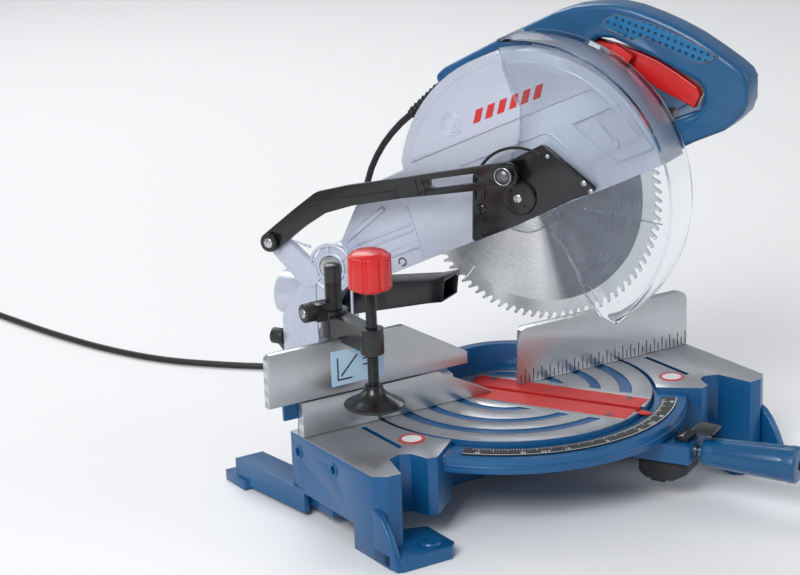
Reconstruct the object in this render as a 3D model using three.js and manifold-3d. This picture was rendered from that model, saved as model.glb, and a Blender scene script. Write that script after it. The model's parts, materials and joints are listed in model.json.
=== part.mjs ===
// Mitre saw: a fixed base with fences and a clamp, a turntable, a tilting bracket and a saw head that chops.
// Millimetres, +Z up. The origin is the turntable's axis on the bench.
// X runs to the right along the fence and Y away from the person sawing.
import * as THREE from 'three';
import { mergeVertices } from 'three/addons/utils/BufferGeometryUtils.js';
import Module from 'manifold-3d';

const wasm = await Module();
wasm.setup();

// Driving dimensions
const tableHeight = 80;
const tableRadius = 139.5;
const tableThickness = 12;
const mitreAngle = 30;
const baseHalfWidth = 226;
const wingFront = -113;
const wingRear = 30;
const wallThickness = 5;
const ringWidth = 31;
const ringDrop = 6;
const ringThickness = 14;
const fenceFace = 5;
const fenceThickness = 10;
const leftFenceTop = 34;
const rightFenceTop = 57;
const slideFenceTop = 87;
const slideFenceLength = 218;
const slideFenceEnd = -43;
const bladeRadius = 127;
const bladeThickness = 2;
const toothCount = 90;
const arborY = -32;
const arborHeight = 205;
const pivotY = 168;
const pivotHeight = 117;
const pinRadius = 8;
const guardHalfWidth = 22;
const guardWall = 3;
const motorRadius = 50;
const motorLength = 120;
const motorY = -86;
const motorHeight = 266;
const handleWidth = 34;
const postRadius = 8;
const clampX = -173;
const clampY = 32;
const clampReach = 67;
const cordDiameter = 6.8;
const gap = 0.3;

// Sizes that follow from them
const armHalfWidth = 24;
const guardCentreY = arborY - 5;
const guardCentreHeight = arborHeight - 1;
const guardRadius = bladeRadius + 9.5;
const shieldInner = bladeRadius + 17;
const shieldOuter = shieldInner + 3.3;
const wallLeft = -guardHalfWidth;
const shieldLeft = wallLeft - 4.5;
const coverLeft = wallLeft - 12;
const linkLeft = wallLeft - 28;
const sideStart = guardHalfWidth + 6.3;
const hubBottom = -40;
const ringOuter = tableRadius + 1.5 + ringWidth;
const ringTop = -ringDrop;
const ringBottom = ringTop - ringThickness;

// Geometry helpers
const toRadians = THREE.MathUtils.degToRad;
const sidesFor = (radius) => (radius < 6 ? 12 : radius < 18 ? 18 : radius < 60 ? 32 : 64);

function arc(cx, cy, radius, from, to) {
  const steps = Math.max(2, Math.ceil(Math.abs(to - from) / (360 / sidesFor(radius))));
  const points = [];
  for (let i = 0; i <= steps; i += 1) {
    const angle = toRadians(from + ((to - from) * i) / steps);
    points.push([cx + radius * Math.cos(angle), cy + radius * Math.sin(angle)]);
  }
  return points;
}

const circle = (cx, cy, radius) => arc(cx, cy, radius, 0, 360).slice(0, -1);

const polygon = (cx, cy, radius, sides) => Array.from({ length: sides }, (_, i) => {
  const angle = (i / sides) * 2 * Math.PI;
  return [cx + radius * Math.cos(angle), cy + radius * Math.sin(angle)];
});
const shapeOf = (points) => new THREE.Shape(points.map(([x, y]) => new THREE.Vector2(x, y)));

// The loop around two circles: a belt, a slot or a rounded bar.
function loop([ax, ay], aRadius, [bx, by], bRadius) {
  const distance = Math.hypot(bx - ax, by - ay);
  const heading = THREE.MathUtils.radToDeg(Math.atan2(by - ay, bx - ax));
  const lean = THREE.MathUtils.radToDeg(Math.acos((aRadius - bRadius) / distance));
  return [
    ...arc(ax, ay, aRadius, heading + lean, heading + 360 - lean),
    ...arc(bx, by, bRadius, heading - lean, heading + lean),
  ];
}

function bare(geometry) {
  geometry.deleteAttribute('normal');
  geometry.deleteAttribute('uv');
  return mergeVertices(geometry, 1e-4);
}

function flat(points, depth) {
  return bare(new THREE.ExtrudeGeometry(shapeOf(points), { depth, bevelEnabled: false }));
}

// A flat outline pushed along Z, X or Y. Along X the outline is (y, z), along Y it is (x, z).
function alongZ(points, low, high) {
  return flat(points, high - low).translate(0, 0, low);
}
function alongX(points, low, high) {
  const turn = new THREE.Matrix4().set(0, 0, 1, 0, 1, 0, 0, 0, 0, 1, 0, 0, 0, 0, 0, 1);
  return flat(points, high - low).applyMatrix4(turn).translate(low, 0, 0);
}
function alongY(points, low, high) {
  return flat(points, high - low).rotateX(Math.PI / 2).translate(0, high, 0);
}
function box(x0, x1, y0, y1, z0, z1) {
  const geometry = new THREE.BoxGeometry(x1 - x0, y1 - y0, z1 - z0);
  return bare(geometry.translate((x0 + x1) / 2, (y0 + y1) / 2, (z0 + z1) / 2));
}

// A round bar or cone between two lengths on a line parallel to an axis; the place is the other two numbers.
function bar(axis, radius, low, high, [u, v], endRadius = radius) {
  const sides = sidesFor(Math.max(radius, endRadius));
  const geometry = new THREE.CylinderGeometry(endRadius, radius, high - low, sides);
  geometry.translate(0, (low + high) / 2, 0);
  if (axis === 'z') geometry.rotateX(Math.PI / 2).translate(u, v, 0);
  if (axis === 'x') geometry.rotateZ(-Math.PI / 2).translate(0, u, v);
  if (axis === 'y') geometry.translate(u, 0, v);
  return bare(geometry);
}

function solidOf(geometry) {
  const vertProperties = new Float32Array(geometry.attributes.position.array);
  const triVerts = new Uint32Array(geometry.index.array);
  return new wasm.Manifold(new wasm.Mesh({ numProp: 3, vertProperties, triVerts }));
}

function geometryOf(solid) {
  const mesh = solid.getMesh();
  const geometry = new THREE.BufferGeometry();
  geometry.setAttribute('position', new THREE.BufferAttribute(new Float32Array(mesh.vertProperties), 3));
  geometry.setIndex(new THREE.BufferAttribute(new Uint32Array(mesh.triVerts), 1));
  return geometry;
}

const join = (...pieces) => geometryOf(pieces.map(solidOf).reduce((a, b) => a.add(b)));
const cut = (piece, ...tools) => geometryOf(tools.map(solidOf).reduce((a, b) => a.subtract(b), solidOf(piece)));
const ring = (axis, outer, inner, low, high, place) =>
  cut(bar(axis, outer, low, high, place), bar(axis, inner, low - 1, high + 1, place));
const mirrored = (points) => points.map(([x, y]) => [-x, y]).reverse();

// A tube along a smooth route, for a cord.
function cordAlong(points) {
  const sides = 8;
  const stepsPerDiameter = 0.42;
  const route = new THREE.CatmullRomCurve3(points.map((p) => new THREE.Vector3(...p)), false, 'centripetal');
  const steps = Math.max(6, Math.round((route.getLength() / cordDiameter) * stepsPerDiameter));
  const section = shapeOf(polygon(0, 0, cordDiameter / 2, sides));
  return bare(new THREE.ExtrudeGeometry(section, { steps, extrudePath: route, bevelEnabled: false }));
}

// Materials
const finish = (color, roughness, metalness) => new THREE.MeshStandardMaterial({ color, roughness, metalness });
const bluePaint = finish(0x1d5a92, 0.45, 0.2);
const silverPaint = finish(0xc3cbdf, 0.45, 0.3);
const machined = finish(0xb9bec6, 0.35, 0.9);
const redPlastic = finish(0xc63434, 0.5, 0);
const blackMetal = finish(0x15161a, 0.35, 0.6);
const blackPlastic = finish(0x1a1a1d, 0.5, 0);
const bladeSteel = finish(0xc9ccd0, 0.25, 1);
const plainSteel = finish(0x8d9196, 0.35, 1);
const clearPlastic = finish(0xd8e2ea, 0.08, 0);
const bluePlastic = finish(0x17518a, 0.5, 0);
const copper = finish(0xa8683c, 0.4, 0.8);
const rubber = finish(0x111214, 0.75, 0);

const saw = new THREE.Group();
const onTable = new THREE.Group();
onTable.rotation.z = toRadians(mitreAngle);
onTable.position.z = tableHeight;
saw.add(onTable);

function place(group, name, geometry, material) {
  const mesh = new THREE.Mesh(geometry, material);
  mesh.name = name;
  group.add(mesh);
}

// ---- Base: two hollow wings, a dial ring across the front, a hub under the table, four feet ----
const wingInner = tableRadius + 4;
const dialTop = tableHeight + ringTop;
const postBoss = postRadius + 8;

function wingOutline() {
  const w = baseHalfWidth;
  return [
    [-w, wingRear], [-w, wingFront], [-w + 11, wingFront - 9], [-w + 25, wingFront - 10],
    [-w + 35, wingFront + 26], [-w + 49, wingFront + 31], [-w + 58, wingFront + 26],
    [-w + 64, wingFront + 7], [-w + 73, wingFront + 5],
    ...arc(0, 0, wingInner, 213.9, 168),
  ];
}

function wingCavity() {
  const w = baseHalfWidth - wallThickness;
  return [
    [-w, wingRear - wallThickness], [-w, wingFront + 5], [-w + 13, wingFront - 3],
    [-w + 24, wingFront + 33], [-wingInner - 15, wingFront + 39], [-wingInner - 9, wingRear - wallThickness],
  ];
}

function footOutline() {
  const w = baseHalfWidth;
  return [
    [-w, wingFront + 18], [-w, wingFront - 27], [-w + 6, wingFront - 39], [-w + 58, wingFront - 39],
    [-w + 65, wingFront - 32], [-w + 65, wingFront + 13], [-w + 36, wingFront + 23],
  ];
}

const legOutline = () => [
  [-baseHalfWidth, wingFront + 33], [-baseHalfWidth, wingFront], [-baseHalfWidth + 11, wingFront - 9],
  [-baseHalfWidth + 25, wingFront - 10], [-baseHalfWidth + 35, wingFront + 26], [-baseHalfWidth + 37, wingFront + 33],
];

function sideOfBase(flip) {
  const way = flip ? mirrored : (points) => points;
  const wingBottom = 24;
  const rearLeg = [
    [-baseHalfWidth, wingRear - 20], [-baseHalfWidth - 12, wingRear + 92], [-baseHalfWidth + 18, wingRear + 92],
    [-baseHalfWidth + 30, wingRear - 20],
  ];
  const rearFoot = [
    [-baseHalfWidth - 14, wingRear + 72], [-baseHalfWidth - 14, wingRear + 110], [-baseHalfWidth + 26, wingRear + 110],
    [-baseHalfWidth + 26, wingRear + 72],
  ];
  const openUnderside = [
    [-baseHalfWidth + wallThickness, wingRear - wallThickness], [-baseHalfWidth + wallThickness, wingFront + 38],
    [-wingInner - 15, wingFront + 44], [-wingInner - 9, wingRear - wallThickness],
  ];
  const shell = join(
    alongZ(way(wingOutline()), wingBottom, tableHeight),
    alongZ(way(legOutline()), 0, wingBottom + 1),
    alongZ(way(footOutline()), 0, 12),
    alongZ(way(rearLeg), 4, wingBottom + 3),
    alongZ(way(rearFoot), 0, 10),
  );
  const slotX = baseHalfWidth - 59;
  const boltX = baseHalfWidth - 48;
  const side = flip ? 1 : -1;
  return cut(
    shell,
    alongZ(way(wingCavity()), wingBottom + 4, tableHeight - wallThickness),
    alongZ(way(openUnderside), wingBottom - 21, wingBottom + 5),
    box(side * slotX - 2.5, side * slotX + 2.5, wingFront + 44, wingRear - 32, tableHeight - 6, tableHeight + 1),
    bar('z', 5, -1, 13, [side * boltX, wingFront - 19]),
    bar('z', 4, -1, 11, [side * (baseHalfWidth - 4), wingRear + 100]),
    bar('x', 4, side > 0 ? baseHalfWidth - 8 : -baseHalfWidth - 1,
      side > 0 ? baseHalfWidth + 1 : -baseHalfWidth + 8, [wingRear - 13, tableHeight - 17]),
    bar('x', 4, side > 0 ? baseHalfWidth - 8 : -baseHalfWidth - 1,
      side > 0 ? baseHalfWidth + 1 : -baseHalfWidth + 8, [wingRear - 77, tableHeight - 15]),
  );
}

function baseCasting() {
  const hubTop = tableHeight + hubBottom - gap;
  const dial = cut(
    ring('z', ringOuter, tableRadius + 1.5, tableHeight + ringBottom, dialTop, [0, 0]),
    box(-400, 400, wingRear, 400, 0, 200),
  );
  const beam = box(-baseHalfWidth + 8, baseHalfWidth - 8, -28, 24, 10, 34);
  const body = join(
    sideOfBase(false), sideOfBase(true), dial, beam,
    bar('z', 34, 8, hubTop, [0, 0]),
    bar('z', postBoss, 30, tableHeight, [clampX, clampY]),
    bar('z', postBoss, 30, tableHeight, [-clampX, clampY]),
  );
  return cut(
    body,
    bar('z', 6.3, 0, hubTop + 1, [0, 0]),
    bar('z', postRadius + gap, 34, tableHeight + 1, [clampX, clampY]),
    bar('z', postRadius + gap, 34, tableHeight + 1, [-clampX, clampY]),
  );
}
place(saw, 'base_casting', baseCasting(), bluePaint);

const scaleInner = tableRadius + 8.5;
place(saw, 'mitre_scale', cut(
  ring('z', scaleInner + 15, scaleInner, dialTop + gap, dialTop + 1.8, [0, 0]),
  alongZ([[0, 0], [400, -336], [400, 400], [-400, 400], [-400, -336]], 0, 200),
), blackMetal);

const boltTop = tableHeight - 23;
place(saw, 'table_pivot_bolt', join(
  bar('z', 6, 1, boltTop, [0, 0]), bar('z', 12, 1, 7.7, [0, 0])), plainSteel);

// ---- Fences ----
function fenceCasting() {
  const z = tableHeight + gap;
  const back = fenceFace + fenceThickness;
  const w = baseHalfWidth;
  const left = alongY([
    [-w, z], [-16, z], [-16, z + 2], [-70, z + leftFenceTop - 4.5], [-77, tableHeight + leftFenceTop],
    [-w, tableHeight + leftFenceTop],
  ], fenceFace, back);
  const top = tableHeight + rightFenceTop;
  const right = alongY([
    [13, z], [w, z], [w, top - 8], [w - 3, top - 2], [w - 9, top], [26, top], [20, top - 2], [17.5, top - 8],
  ], fenceFace, back);
  const archInner = 60;
  const arch = cut(
    ring('z', archInner + 10, archInner, z, tableHeight + leftFenceTop - 6, [0, 0]),
    box(-100, 100, -100, fenceFace + 1, 0, 300),
  );
  const splay = fenceThickness * 1.1;
  const feet = [-1, 1].map((side) => box(
    side > 0 ? 142 : -w + 4, side > 0 ? w - 4 : -142, back - 1, back + 8, z, z + 9));
  const kerf = alongZ([
    [-16, fenceFace - 1], [13, fenceFace - 1], [13, fenceFace], [13 + splay, back], [13 + splay, back + 0.01],
    [-16 - splay, back + 0.01], [-16 - splay, back], [-16, fenceFace],
  ], 0, 300);
  return cut(
    join(left, right, arch, ...feet), kerf,
    bar('z', postBoss + 1, 0, 300, [clampX, clampY]), bar('z', postBoss + 1, 0, 300, [-clampX, clampY]),
  );
}
place(saw, 'fence_casting', fenceCasting(), machined);

const tongueBack = fenceFace + fenceThickness + gap + 4;
const fenceKnobX = slideFenceEnd - 94;
const fenceKnobZ = tableHeight + leftFenceTop - 9;
const slideOut = 40;
const slideIn = 17;
function slidingFence() {
  const low = tableHeight + leftFenceTop + 1.3;
  const top = tableHeight + slideFenceTop;
  const far = slideFenceEnd - slideFenceLength;
  const plate = alongY([
    [far, low], [slideFenceEnd, low], [slideFenceEnd, low + 12], [slideFenceEnd - 66, top - 2],
    [slideFenceEnd - 70, top], [far + 4, top], [far, top - 4],
  ], fenceFace, fenceFace + 8);
  const tongue = box(far + 21, slideFenceEnd - 45, fenceFace + fenceThickness + gap, tongueBack, low - 19, low + 8);
  const step = box(far + 21, slideFenceEnd - 45, fenceFace + 6, tongueBack, low, low + 8);
  const slot = alongY(
    loop([fenceKnobX - slideIn - 1, fenceKnobZ], 3.6, [fenceKnobX + slideOut + 1, fenceKnobZ], 3.6), 0, 60);
  return cut(join(plate, tongue, step), slot);
}
place(saw, 'sliding_fence', slidingFence(), machined);
place(saw, 'fence_lock_knob', join(
  bar('y', 3, fenceFace + fenceThickness + gap, tongueBack + 2, [fenceKnobX, fenceKnobZ]),
  bar('y', 11, tongueBack + gap, tongueBack + 13, [fenceKnobX, fenceKnobZ]),
), blackPlastic);

// ---- Work clamp ----
const clampArmLow = tableHeight + 80;
const spindleY = clampY - clampReach;
place(saw, 'clamp_post', bar('z', postRadius, tableHeight - 44, clampArmLow + 71, [clampX, clampY]), plainSteel);

function clampArm() {
  const sleeve = bar('z', postRadius + 7, clampArmLow, clampArmLow + 38, [clampX, clampY]);
  const nose = bar('z', 12, clampArmLow + 6, clampArmLow + 44, [clampX, spindleY]);
  const bridge = box(clampX - 9, clampX + 9, spindleY, clampY, clampArmLow + 12, clampArmLow + 38);
  const lug = box(clampX - 22, clampX, clampY - 8, clampY + 8, clampArmLow + 22, clampArmLow + 38);
  return cut(
    join(sleeve, nose, bridge, lug),
    bar('z', postRadius + gap, 0, 300, [clampX, clampY]),
    bar('z', 5.3, 0, 300, [clampX, spindleY]),
    bar('x', 3.3, clampX - 30, clampX, [clampY, clampArmLow + 30]),
  );
}
place(saw, 'clamp_arm', clampArm(), blackMetal);
place(saw, 'clamp_thumbscrew', join(
  bar('x', 3, clampX - 30, clampX - postRadius - gap, [clampY, clampArmLow + 30]),
  bar('x', 9, clampX - 33, clampX - 22.3, [clampY, clampArmLow + 30]),
), blackPlastic);

const footLow = tableHeight + 32;
place(saw, 'clamp_foot', cut(
  join(bar('z', 28, footLow, footLow + 4, [clampX, spindleY]),
    bar('z', 26, footLow + 3, footLow + 10, [clampX, spindleY], 13),
    bar('z', 10, footLow + 9, footLow + 30, [clampX, spindleY])),
  bar('z', 5.3, footLow + 10, footLow + 40, [clampX, spindleY]),
), blackMetal);
const knobLow = clampArmLow + 62;
place(saw, 'clamp_spindle', bar('z', 5, footLow + 10.3, knobLow + 17, [clampX, spindleY]), plainSteel);

function clampKnob() {
  const flutes = 10;
  const outline = [];
  for (let i = 0; i < flutes * 4; i += 1) {
    const radius = i % 4 < 2 ? 20 : 17.6;
    const angle = (i / (flutes * 4)) * 2 * Math.PI;
    outline.push([clampX + radius * Math.cos(angle), spindleY + radius * Math.sin(angle)]);
  }
  return cut(
    join(alongZ(outline, knobLow + 3, knobLow + 34), bar('z', 12, knobLow, knobLow + 4, [clampX, spindleY]),
      bar('z', 17, knobLow + 33, knobLow + 38, [clampX, spindleY], 14)),
    bar('z', 5.3, knobLow - 1, knobLow + 17.3, [clampX, spindleY]),
  );
}
place(saw, 'clamp_knob', clampKnob(), redPlastic);

// ---- Turntable, in its own turned frame; heights are above the work surface ----
const kerfLeft = -2.6;
const kerfRight = 4;
const insertHalf = 30;
const insertFront = 4.5 - tableRadius;
const insertRear = 45;
const insertThickness = 4;
const neckRear = 186;
const hubRadius = 42;
const spindleHeight = -33;

function turntable() {
  const disc = bar('z', tableRadius, -tableThickness, 0, [0, 0]);
  const skirt = ring('z', tableRadius, tableRadius - 9, -30, -tableThickness + 1, [0, 0]);
  const frontArm = box(-armHalfWidth, armHalfWidth, -ringOuter - 24, -20, hubBottom, ringBottom - 2);
  const neck = box(-hubRadius, hubRadius, 10, neckRear, hubBottom, -tableThickness + 1);
  const shoulder = box(-hubRadius, hubRadius, tableRadius + 11, neckRear, hubBottom, 0);
  const hub = bar('y', hubRadius, tableRadius + 11, neckRear, [0, 0]);
  const body = join(disc, skirt, frontArm, neck, shoulder, hub, bar('z', 30, hubBottom, -10, [0, 0]));
  const grooves = [[108, 120], [80, 90], [48, 57]].map(([inner, outer]) => cut(
    ring('z', outer, inner, -1.4, 1, [0, 0]), box(-38, 38, -200, 200, -5, 5)));
  return cut(
    body, ...grooves,
    box(-insertHalf - gap, insertHalf + gap, insertFront - gap, insertRear + gap, -insertThickness - gap, 1),
    box(-8, 8, -tableRadius - 1, insertFront, -insertThickness - gap, 1),
    box(-12, 12, insertFront + 6, insertRear - 7, -20, 0),
    bar('z', 6.3, hubBottom - 1, -22, [0, 0]),
    bar('y', 5.3, -ringOuter - 30, -ringOuter + 20, [0, spindleHeight]),
    bar('y', 8.3, neckRear - 30, neckRear + 1, [0, 0]),
  );
}
place(onTable, 'turntable', turntable(), machined);

function insert(side) {
  const inner = side < 0 ? kerfLeft : kerfRight;
  const x0 = side < 0 ? -insertHalf : inner;
  const x1 = side < 0 ? inner : insertHalf;
  return box(x0, x1, insertFront, insertRear, -insertThickness, 0);
}
place(onTable, 'insert_left', insert(-1), redPlastic);
place(onTable, 'insert_right', insert(1), redPlastic);
place(onTable, 'mitre_pointer', alongZ([
  [-5, insertFront - 0.6], [-5, -tableRadius - 3], [-0.6, -tableRadius - 10], [0.6, -tableRadius - 10],
  [5, -tableRadius - 3], [5, insertFront - 0.6]].reverse(), -3.9, -2.6), redPlastic);

const knobNear = -ringOuter - 30;
const knobFar = knobNear - 90;
place(onTable, 'mitre_spindle', bar('y', 5, knobFar + 12, -ringOuter + 15, [0, spindleHeight]), plainSteel);
place(onTable, 'mitre_knob', cut(
  join(bar('y', 17.5, knobFar, knobNear, [0, spindleHeight], 13),
    bar('y', 14, knobFar - 3, knobFar + 1, [0, spindleHeight], 17)),
  bar('y', 5.3, knobFar + 11.7, knobNear + 1, [0, spindleHeight]),
), bluePlastic);
const leverFoot = ringBottom - 2 + gap;
place(onTable, 'detent_lever', alongX([
  [-ringOuter - 5, leverFoot], [-ringOuter - 5, leverFoot + 5], [-ringOuter - 14, leverFoot + 6],
  [-ringOuter - 22, leverFoot + 14], [-ringOuter - 42, leverFoot + 12], [-ringOuter - 42, leverFoot + 9],
  [-ringOuter - 24, leverFoot + 10], [-ringOuter - 18, leverFoot],
].reverse(), -13, 13), blackMetal);

// ---- Tilting bracket behind the table, with the fork that carries the head ----
const cheekInner = guardHalfWidth + 2.3;
const cheekOuter = guardHalfWidth + 20;
const earInner = guardHalfWidth + 11;
const flangeFront = neckRear + gap;
const webRear = flangeFront + 40;
const linkRear = [231, 139];
const outletHeight = 73;
const bevelGrip = 38;

function tiltBracket() {
  const cheek = [
    [flangeFront, -30], [flangeFront, 50], [pivotY - 21, pivotHeight - 6], ...arc(pivotY, pivotHeight, 22, 190, 60),
    [webRear, 62], [webRear, -30],
  ].reverse();
  const fork = cut(
    join(alongX(cheek, -cheekOuter, -cheekInner), alongX(cheek, cheekInner, cheekOuter),
      box(-cheekOuter, cheekOuter, flangeFront, webRear, -30, 40),
      bar('y', hubRadius + 2, flangeFront, flangeFront + 13, [0, 0])),
    alongX(circle(pivotY, pivotHeight, 24.5), -earInner, earInner),
  );
  const finger = alongX(loop([pivotY + 27, pivotHeight - 9], 13, linkRear, 11), -cheekOuter - 1.7, -cheekOuter + 6);
  return cut(
    join(fork, finger),
    bar('x', pinRadius + gap, -80, 80, [pivotY, pivotHeight]),
    bar('x', 4.3, -80, 0, linkRear),
    bar('x', 4.3, 0, 80, [pivotY, pivotHeight - 26]),
    bar('y', 8.3, flangeFront - 1, webRear + 1, [0, 0]),
  );
}
place(onTable, 'tilt_bracket', tiltBracket(), silverPaint);
place(onTable, 'bevel_bolt', join(
  bar('y', 8, neckRear - 29, webRear + 16, [0, 0]), bar('y', 11, webRear + 15, webRear + 21, [0, 0])), plainSteel);
place(onTable, 'bevel_lever', cut(
  join(bar('y', 15, webRear + gap, webRear + 12, [0, 0]),
    alongY(loop([0, 0], 8, [-bevelGrip, bevelGrip], 6), webRear + 3, webRear + 9),
    bar('y', 8, webRear + 1, webRear + 14, [-bevelGrip, bevelGrip])),
  bar('y', 8.3, webRear - 1, webRear + 20, [0, 0]),
), blackPlastic);
place(onTable, 'link_rear_bolt', join(
  bar('x', 4, linkLeft - 1, -cheekOuter + 4, linkRear),
  bar('x', 9, linkLeft - 5, linkLeft - gap, linkRear)), plainSteel);
place(onTable, 'chop_pin', join(
  bar('x', pinRadius, -cheekOuter - 1, cheekOuter + 3, [pivotY, pivotHeight]),
  bar('x', 12, -cheekOuter - 1.9, -cheekOuter - gap, [pivotY, pivotHeight])), plainSteel);
place(onTable, 'hold_down_pin', join(
  bar('x', 4, cheekInner + 2, cheekOuter + 8, [pivotY, pivotHeight - 26]),
  bar('x', 8, cheekOuter + 7, cheekOuter + 16, [pivotY, pivotHeight - 26])), redPlastic);

function returnSpring() {
  const turns = 3;
  const wire = 1.4;
  const start = earInner - 11.5;
  const points = [];
  for (let i = 0; i <= turns * 16; i += 1) {
    const angle = (i / 16) * 2 * Math.PI;
    const x = start + (i / (turns * 16)) * 9.5;
    points.push(new THREE.Vector3(x, pivotY + 12.5 * Math.cos(angle), pivotHeight + 12.5 * Math.sin(angle)));
  }
  const section = shapeOf(polygon(0, 0, wire, 6));
  const path = new THREE.CatmullRomCurve3(points);
  return bare(new THREE.ExtrudeGeometry(section, { steps: turns * 16, extrudePath: path, bevelEnabled: false }));
}
place(onTable, 'chop_spring', returnSpring(), plainSteel);

// ---- Saw head ----
const arbor = [arborY, arborHeight];
const motor = [motorY, motorHeight];
const guardFrontAngle = 162.5;
const chordFrontHeight = guardCentreHeight + guardRadius * Math.sin(toRadians(guardFrontAngle)) - 1.05;
const chordFront = [arborY - bladeRadius - 8, chordFrontHeight];
const chordRear = [111, 112];
const hubWidthRight = earInner - 13;

const beltWall = 3;
const bigPulley = 40;
const smallPulley = 13;
const beltHousing = (inset) => loop(arbor, bigPulley + 8 - inset, motor, smallPulley + 15 - inset);
const plateX = guardHalfWidth + 23;

function headCasting() {
  const outline = [
    ...arc(guardCentreY, guardCentreHeight, guardRadius, 9, guardFrontAngle), chordFront, chordRear,
    [pivotY - 16, pivotHeight - 12], ...arc(pivotY, pivotHeight, 20, 240, 450), [pivotY - 18, pivotHeight + 58],
    [pivotY - 40, pivotHeight + 84], [guardCentreY + guardRadius - 4, guardCentreHeight + 12],
  ];
  const body = join(
    alongX(outline, -guardHalfWidth, guardHalfWidth),
    bar('x', 20, -earInner + 0.5, hubWidthRight, [pivotY, pivotHeight]),
    alongX(beltHousing(0), guardHalfWidth - 1, plateX - gap),
  );
  const carved = cut(
    body,
    bar('x', guardRadius - guardWall, -guardHalfWidth + guardWall, guardHalfWidth - guardWall,
      [guardCentreY, guardCentreHeight]),
    alongX(beltHousing(beltWall), guardHalfWidth + beltWall, plateX + 1),
    bar('x', 17, -guardHalfWidth - 1, 0, arbor),
  );
  const bosses = join(
    carved,
    ring('x', 20, 17, wallLeft - 6.5, wallLeft + 1, arbor),
    bar('x', 20, 10, guardHalfWidth + 1, arbor),
  );
  return cut(
    bosses,
    bar('x', 16, 9, 20.3, arbor),
    bar('x', 9, 9, guardHalfWidth + beltWall + 1, arbor),
    bar('x', pinRadius + gap, -80, 80, [pivotY, pivotHeight]),
    box(hubWidthRight, 80, pivotY - 21, pivotY + 21, pivotHeight - 21, pivotHeight + 21),
  );
}
place(onTable, 'head_casting', headCasting(), silverPaint);

const linkPinRadius = 25;
const linkPinAngle = 72;
const onHub = (radius, angle) => arc(arborY, arborHeight, radius, angle, angle + 1)[0];
const linkPin = onHub(linkPinRadius, linkPinAngle);
function coverPlate() {
  const slot = [
    ...arc(arborY, arborHeight, linkPinRadius + 5, 26, 85), ...arc(arborY, arborHeight, linkPinRadius - 5, 85, 26)];
  return cut(alongX([
    [17, 222], [-15, 235], [-53, 256], [-58, 256], [-108, 220], [-104, 215], [-84, 207], [-28, 177], [16, 157],
    [19, 159],
  ], coverLeft, wallLeft - 7), alongX(slot, coverLeft - 1, wallLeft));
}
place(onTable, 'cover_plate', coverPlate(), blackMetal);
place(onTable, 'arbor_cap', bar('x', 17, coverLeft - 4, coverLeft - gap, arbor), blackMetal);

// Motor, beside the blade and parallel to its arbor
function motorHousing() {
  const end = plateX + motorLength;
  return cut(
    join(alongX(beltHousing(0), plateX, plateX + 4), bar('x', motorRadius, plateX, end, motor)),
    bar('x', motorRadius - 4, plateX + 4, end + 1, motor),
    bar('x', 7, 0, 80, motor),
    bar('x', 4.3, 0, 80, [arborY, arborHeight + 25]),
  );
}
place(onTable, 'motor_housing', motorHousing(), bluePlastic);

const motorEnd = plateX + motorLength;
place(onTable, 'motor_end_cap', cut(
  join(bar('x', motorRadius, motorEnd + gap, motorEnd + 14, motor),
    bar('x', motorRadius, motorEnd + 13.9, motorEnd + 26, motor, motorRadius - 14)),
  bar('x', motorRadius - 4, motorEnd, motorEnd + 12, motor),
  bar('x', 14, motorEnd, motorEnd + 18, motor),
), blackPlastic);
place(onTable, 'brush_cap', bar('y', 9, motorY - motorRadius - 6, motorY - motorRadius - 0.5,
  [plateX + 32, motorHeight]), blackPlastic);
place(onTable, 'stator', ring('x', motorRadius - 4.3, 30, plateX + 35, plateX + 92, motor), plainSteel);
place(onTable, 'armature', join(
  bar('x', 6, guardHalfWidth + 5, motorEnd + 17, motor),
  bar('x', smallPulley, guardHalfWidth + 7, guardHalfWidth + 18, motor),
  bar('x', 38, plateX + 12, plateX + 20, motor),
  bar('x', 26, plateX + 38, plateX + 89, motor),
  bar('x', 14, plateX + 100, plateX + 114, motor),
), copper);
place(onTable, 'armature_bearing', ring('x', 13.7, 6.3, motorEnd + 6, motorEnd + 15, motor), plainSteel);
place(onTable, 'drive_belt', cut(
  alongX(loop(arbor, bigPulley + 2.8, motor, smallPulley + 2.8), guardHalfWidth + 8, guardHalfWidth + 17),
  alongX(loop(arbor, bigPulley + gap, motor, smallPulley + gap), guardHalfWidth, guardHalfWidth + 30),
), rubber);
place(onTable, 'spindle_lock', join(
  bar('x', 4, plateX - 1, plateX + 14, [arborY, arborHeight + 25]),
  bar('x', 7, plateX + 8, plateX + 16, [arborY, arborHeight + 25])), blackPlastic);

// Blade and arbor
const halfBlade = bladeThickness / 2;
function blade() {
  const outline = [];
  for (let i = 0; i < toothCount; i += 1) {
    const angle = (i / toothCount) * 360;
    outline.push(onHub(bladeRadius, angle), onHub(bladeRadius - 6, angle + 0.3));
  }
  return cut(alongX(outline, -halfBlade, halfBlade), bar('x', 15, -9, 9, arbor));
}
place(onTable, 'blade', blade(), bladeSteel);
place(onTable, 'arbor_spindle', cut(
  join(bar('x', 14.7, -halfBlade - 1.5, halfBlade + 4, arbor),
    bar('x', 24, halfBlade + gap, halfBlade + 5, arbor),
    bar('x', 8, 0, plateX - 5, arbor),
    bar('x', bigPulley, guardHalfWidth + 7, guardHalfWidth + 18, arbor)),
  bar('x', 4.3, -9, 16, arbor),
), plainSteel);
place(onTable, 'arbor_bearing', ring('x', 15.7, 8.3, 11, 20, arbor), plainSteel);
place(onTable, 'outer_flange', cut(
  bar('x', 24, -halfBlade - 5.5, -halfBlade - gap, arbor),
  bar('x', 15, -halfBlade - 2.8, 0, arbor), bar('x', 4.3, -20, 0, arbor)), plainSteel);
place(onTable, 'arbor_bolt', join(
  bar('x', 4, -halfBlade - 8, 14, arbor),
  alongX(polygon(arborY, arborHeight, 9, 6), -halfBlade - 12, -halfBlade - 5.8)), plainSteel);

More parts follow.
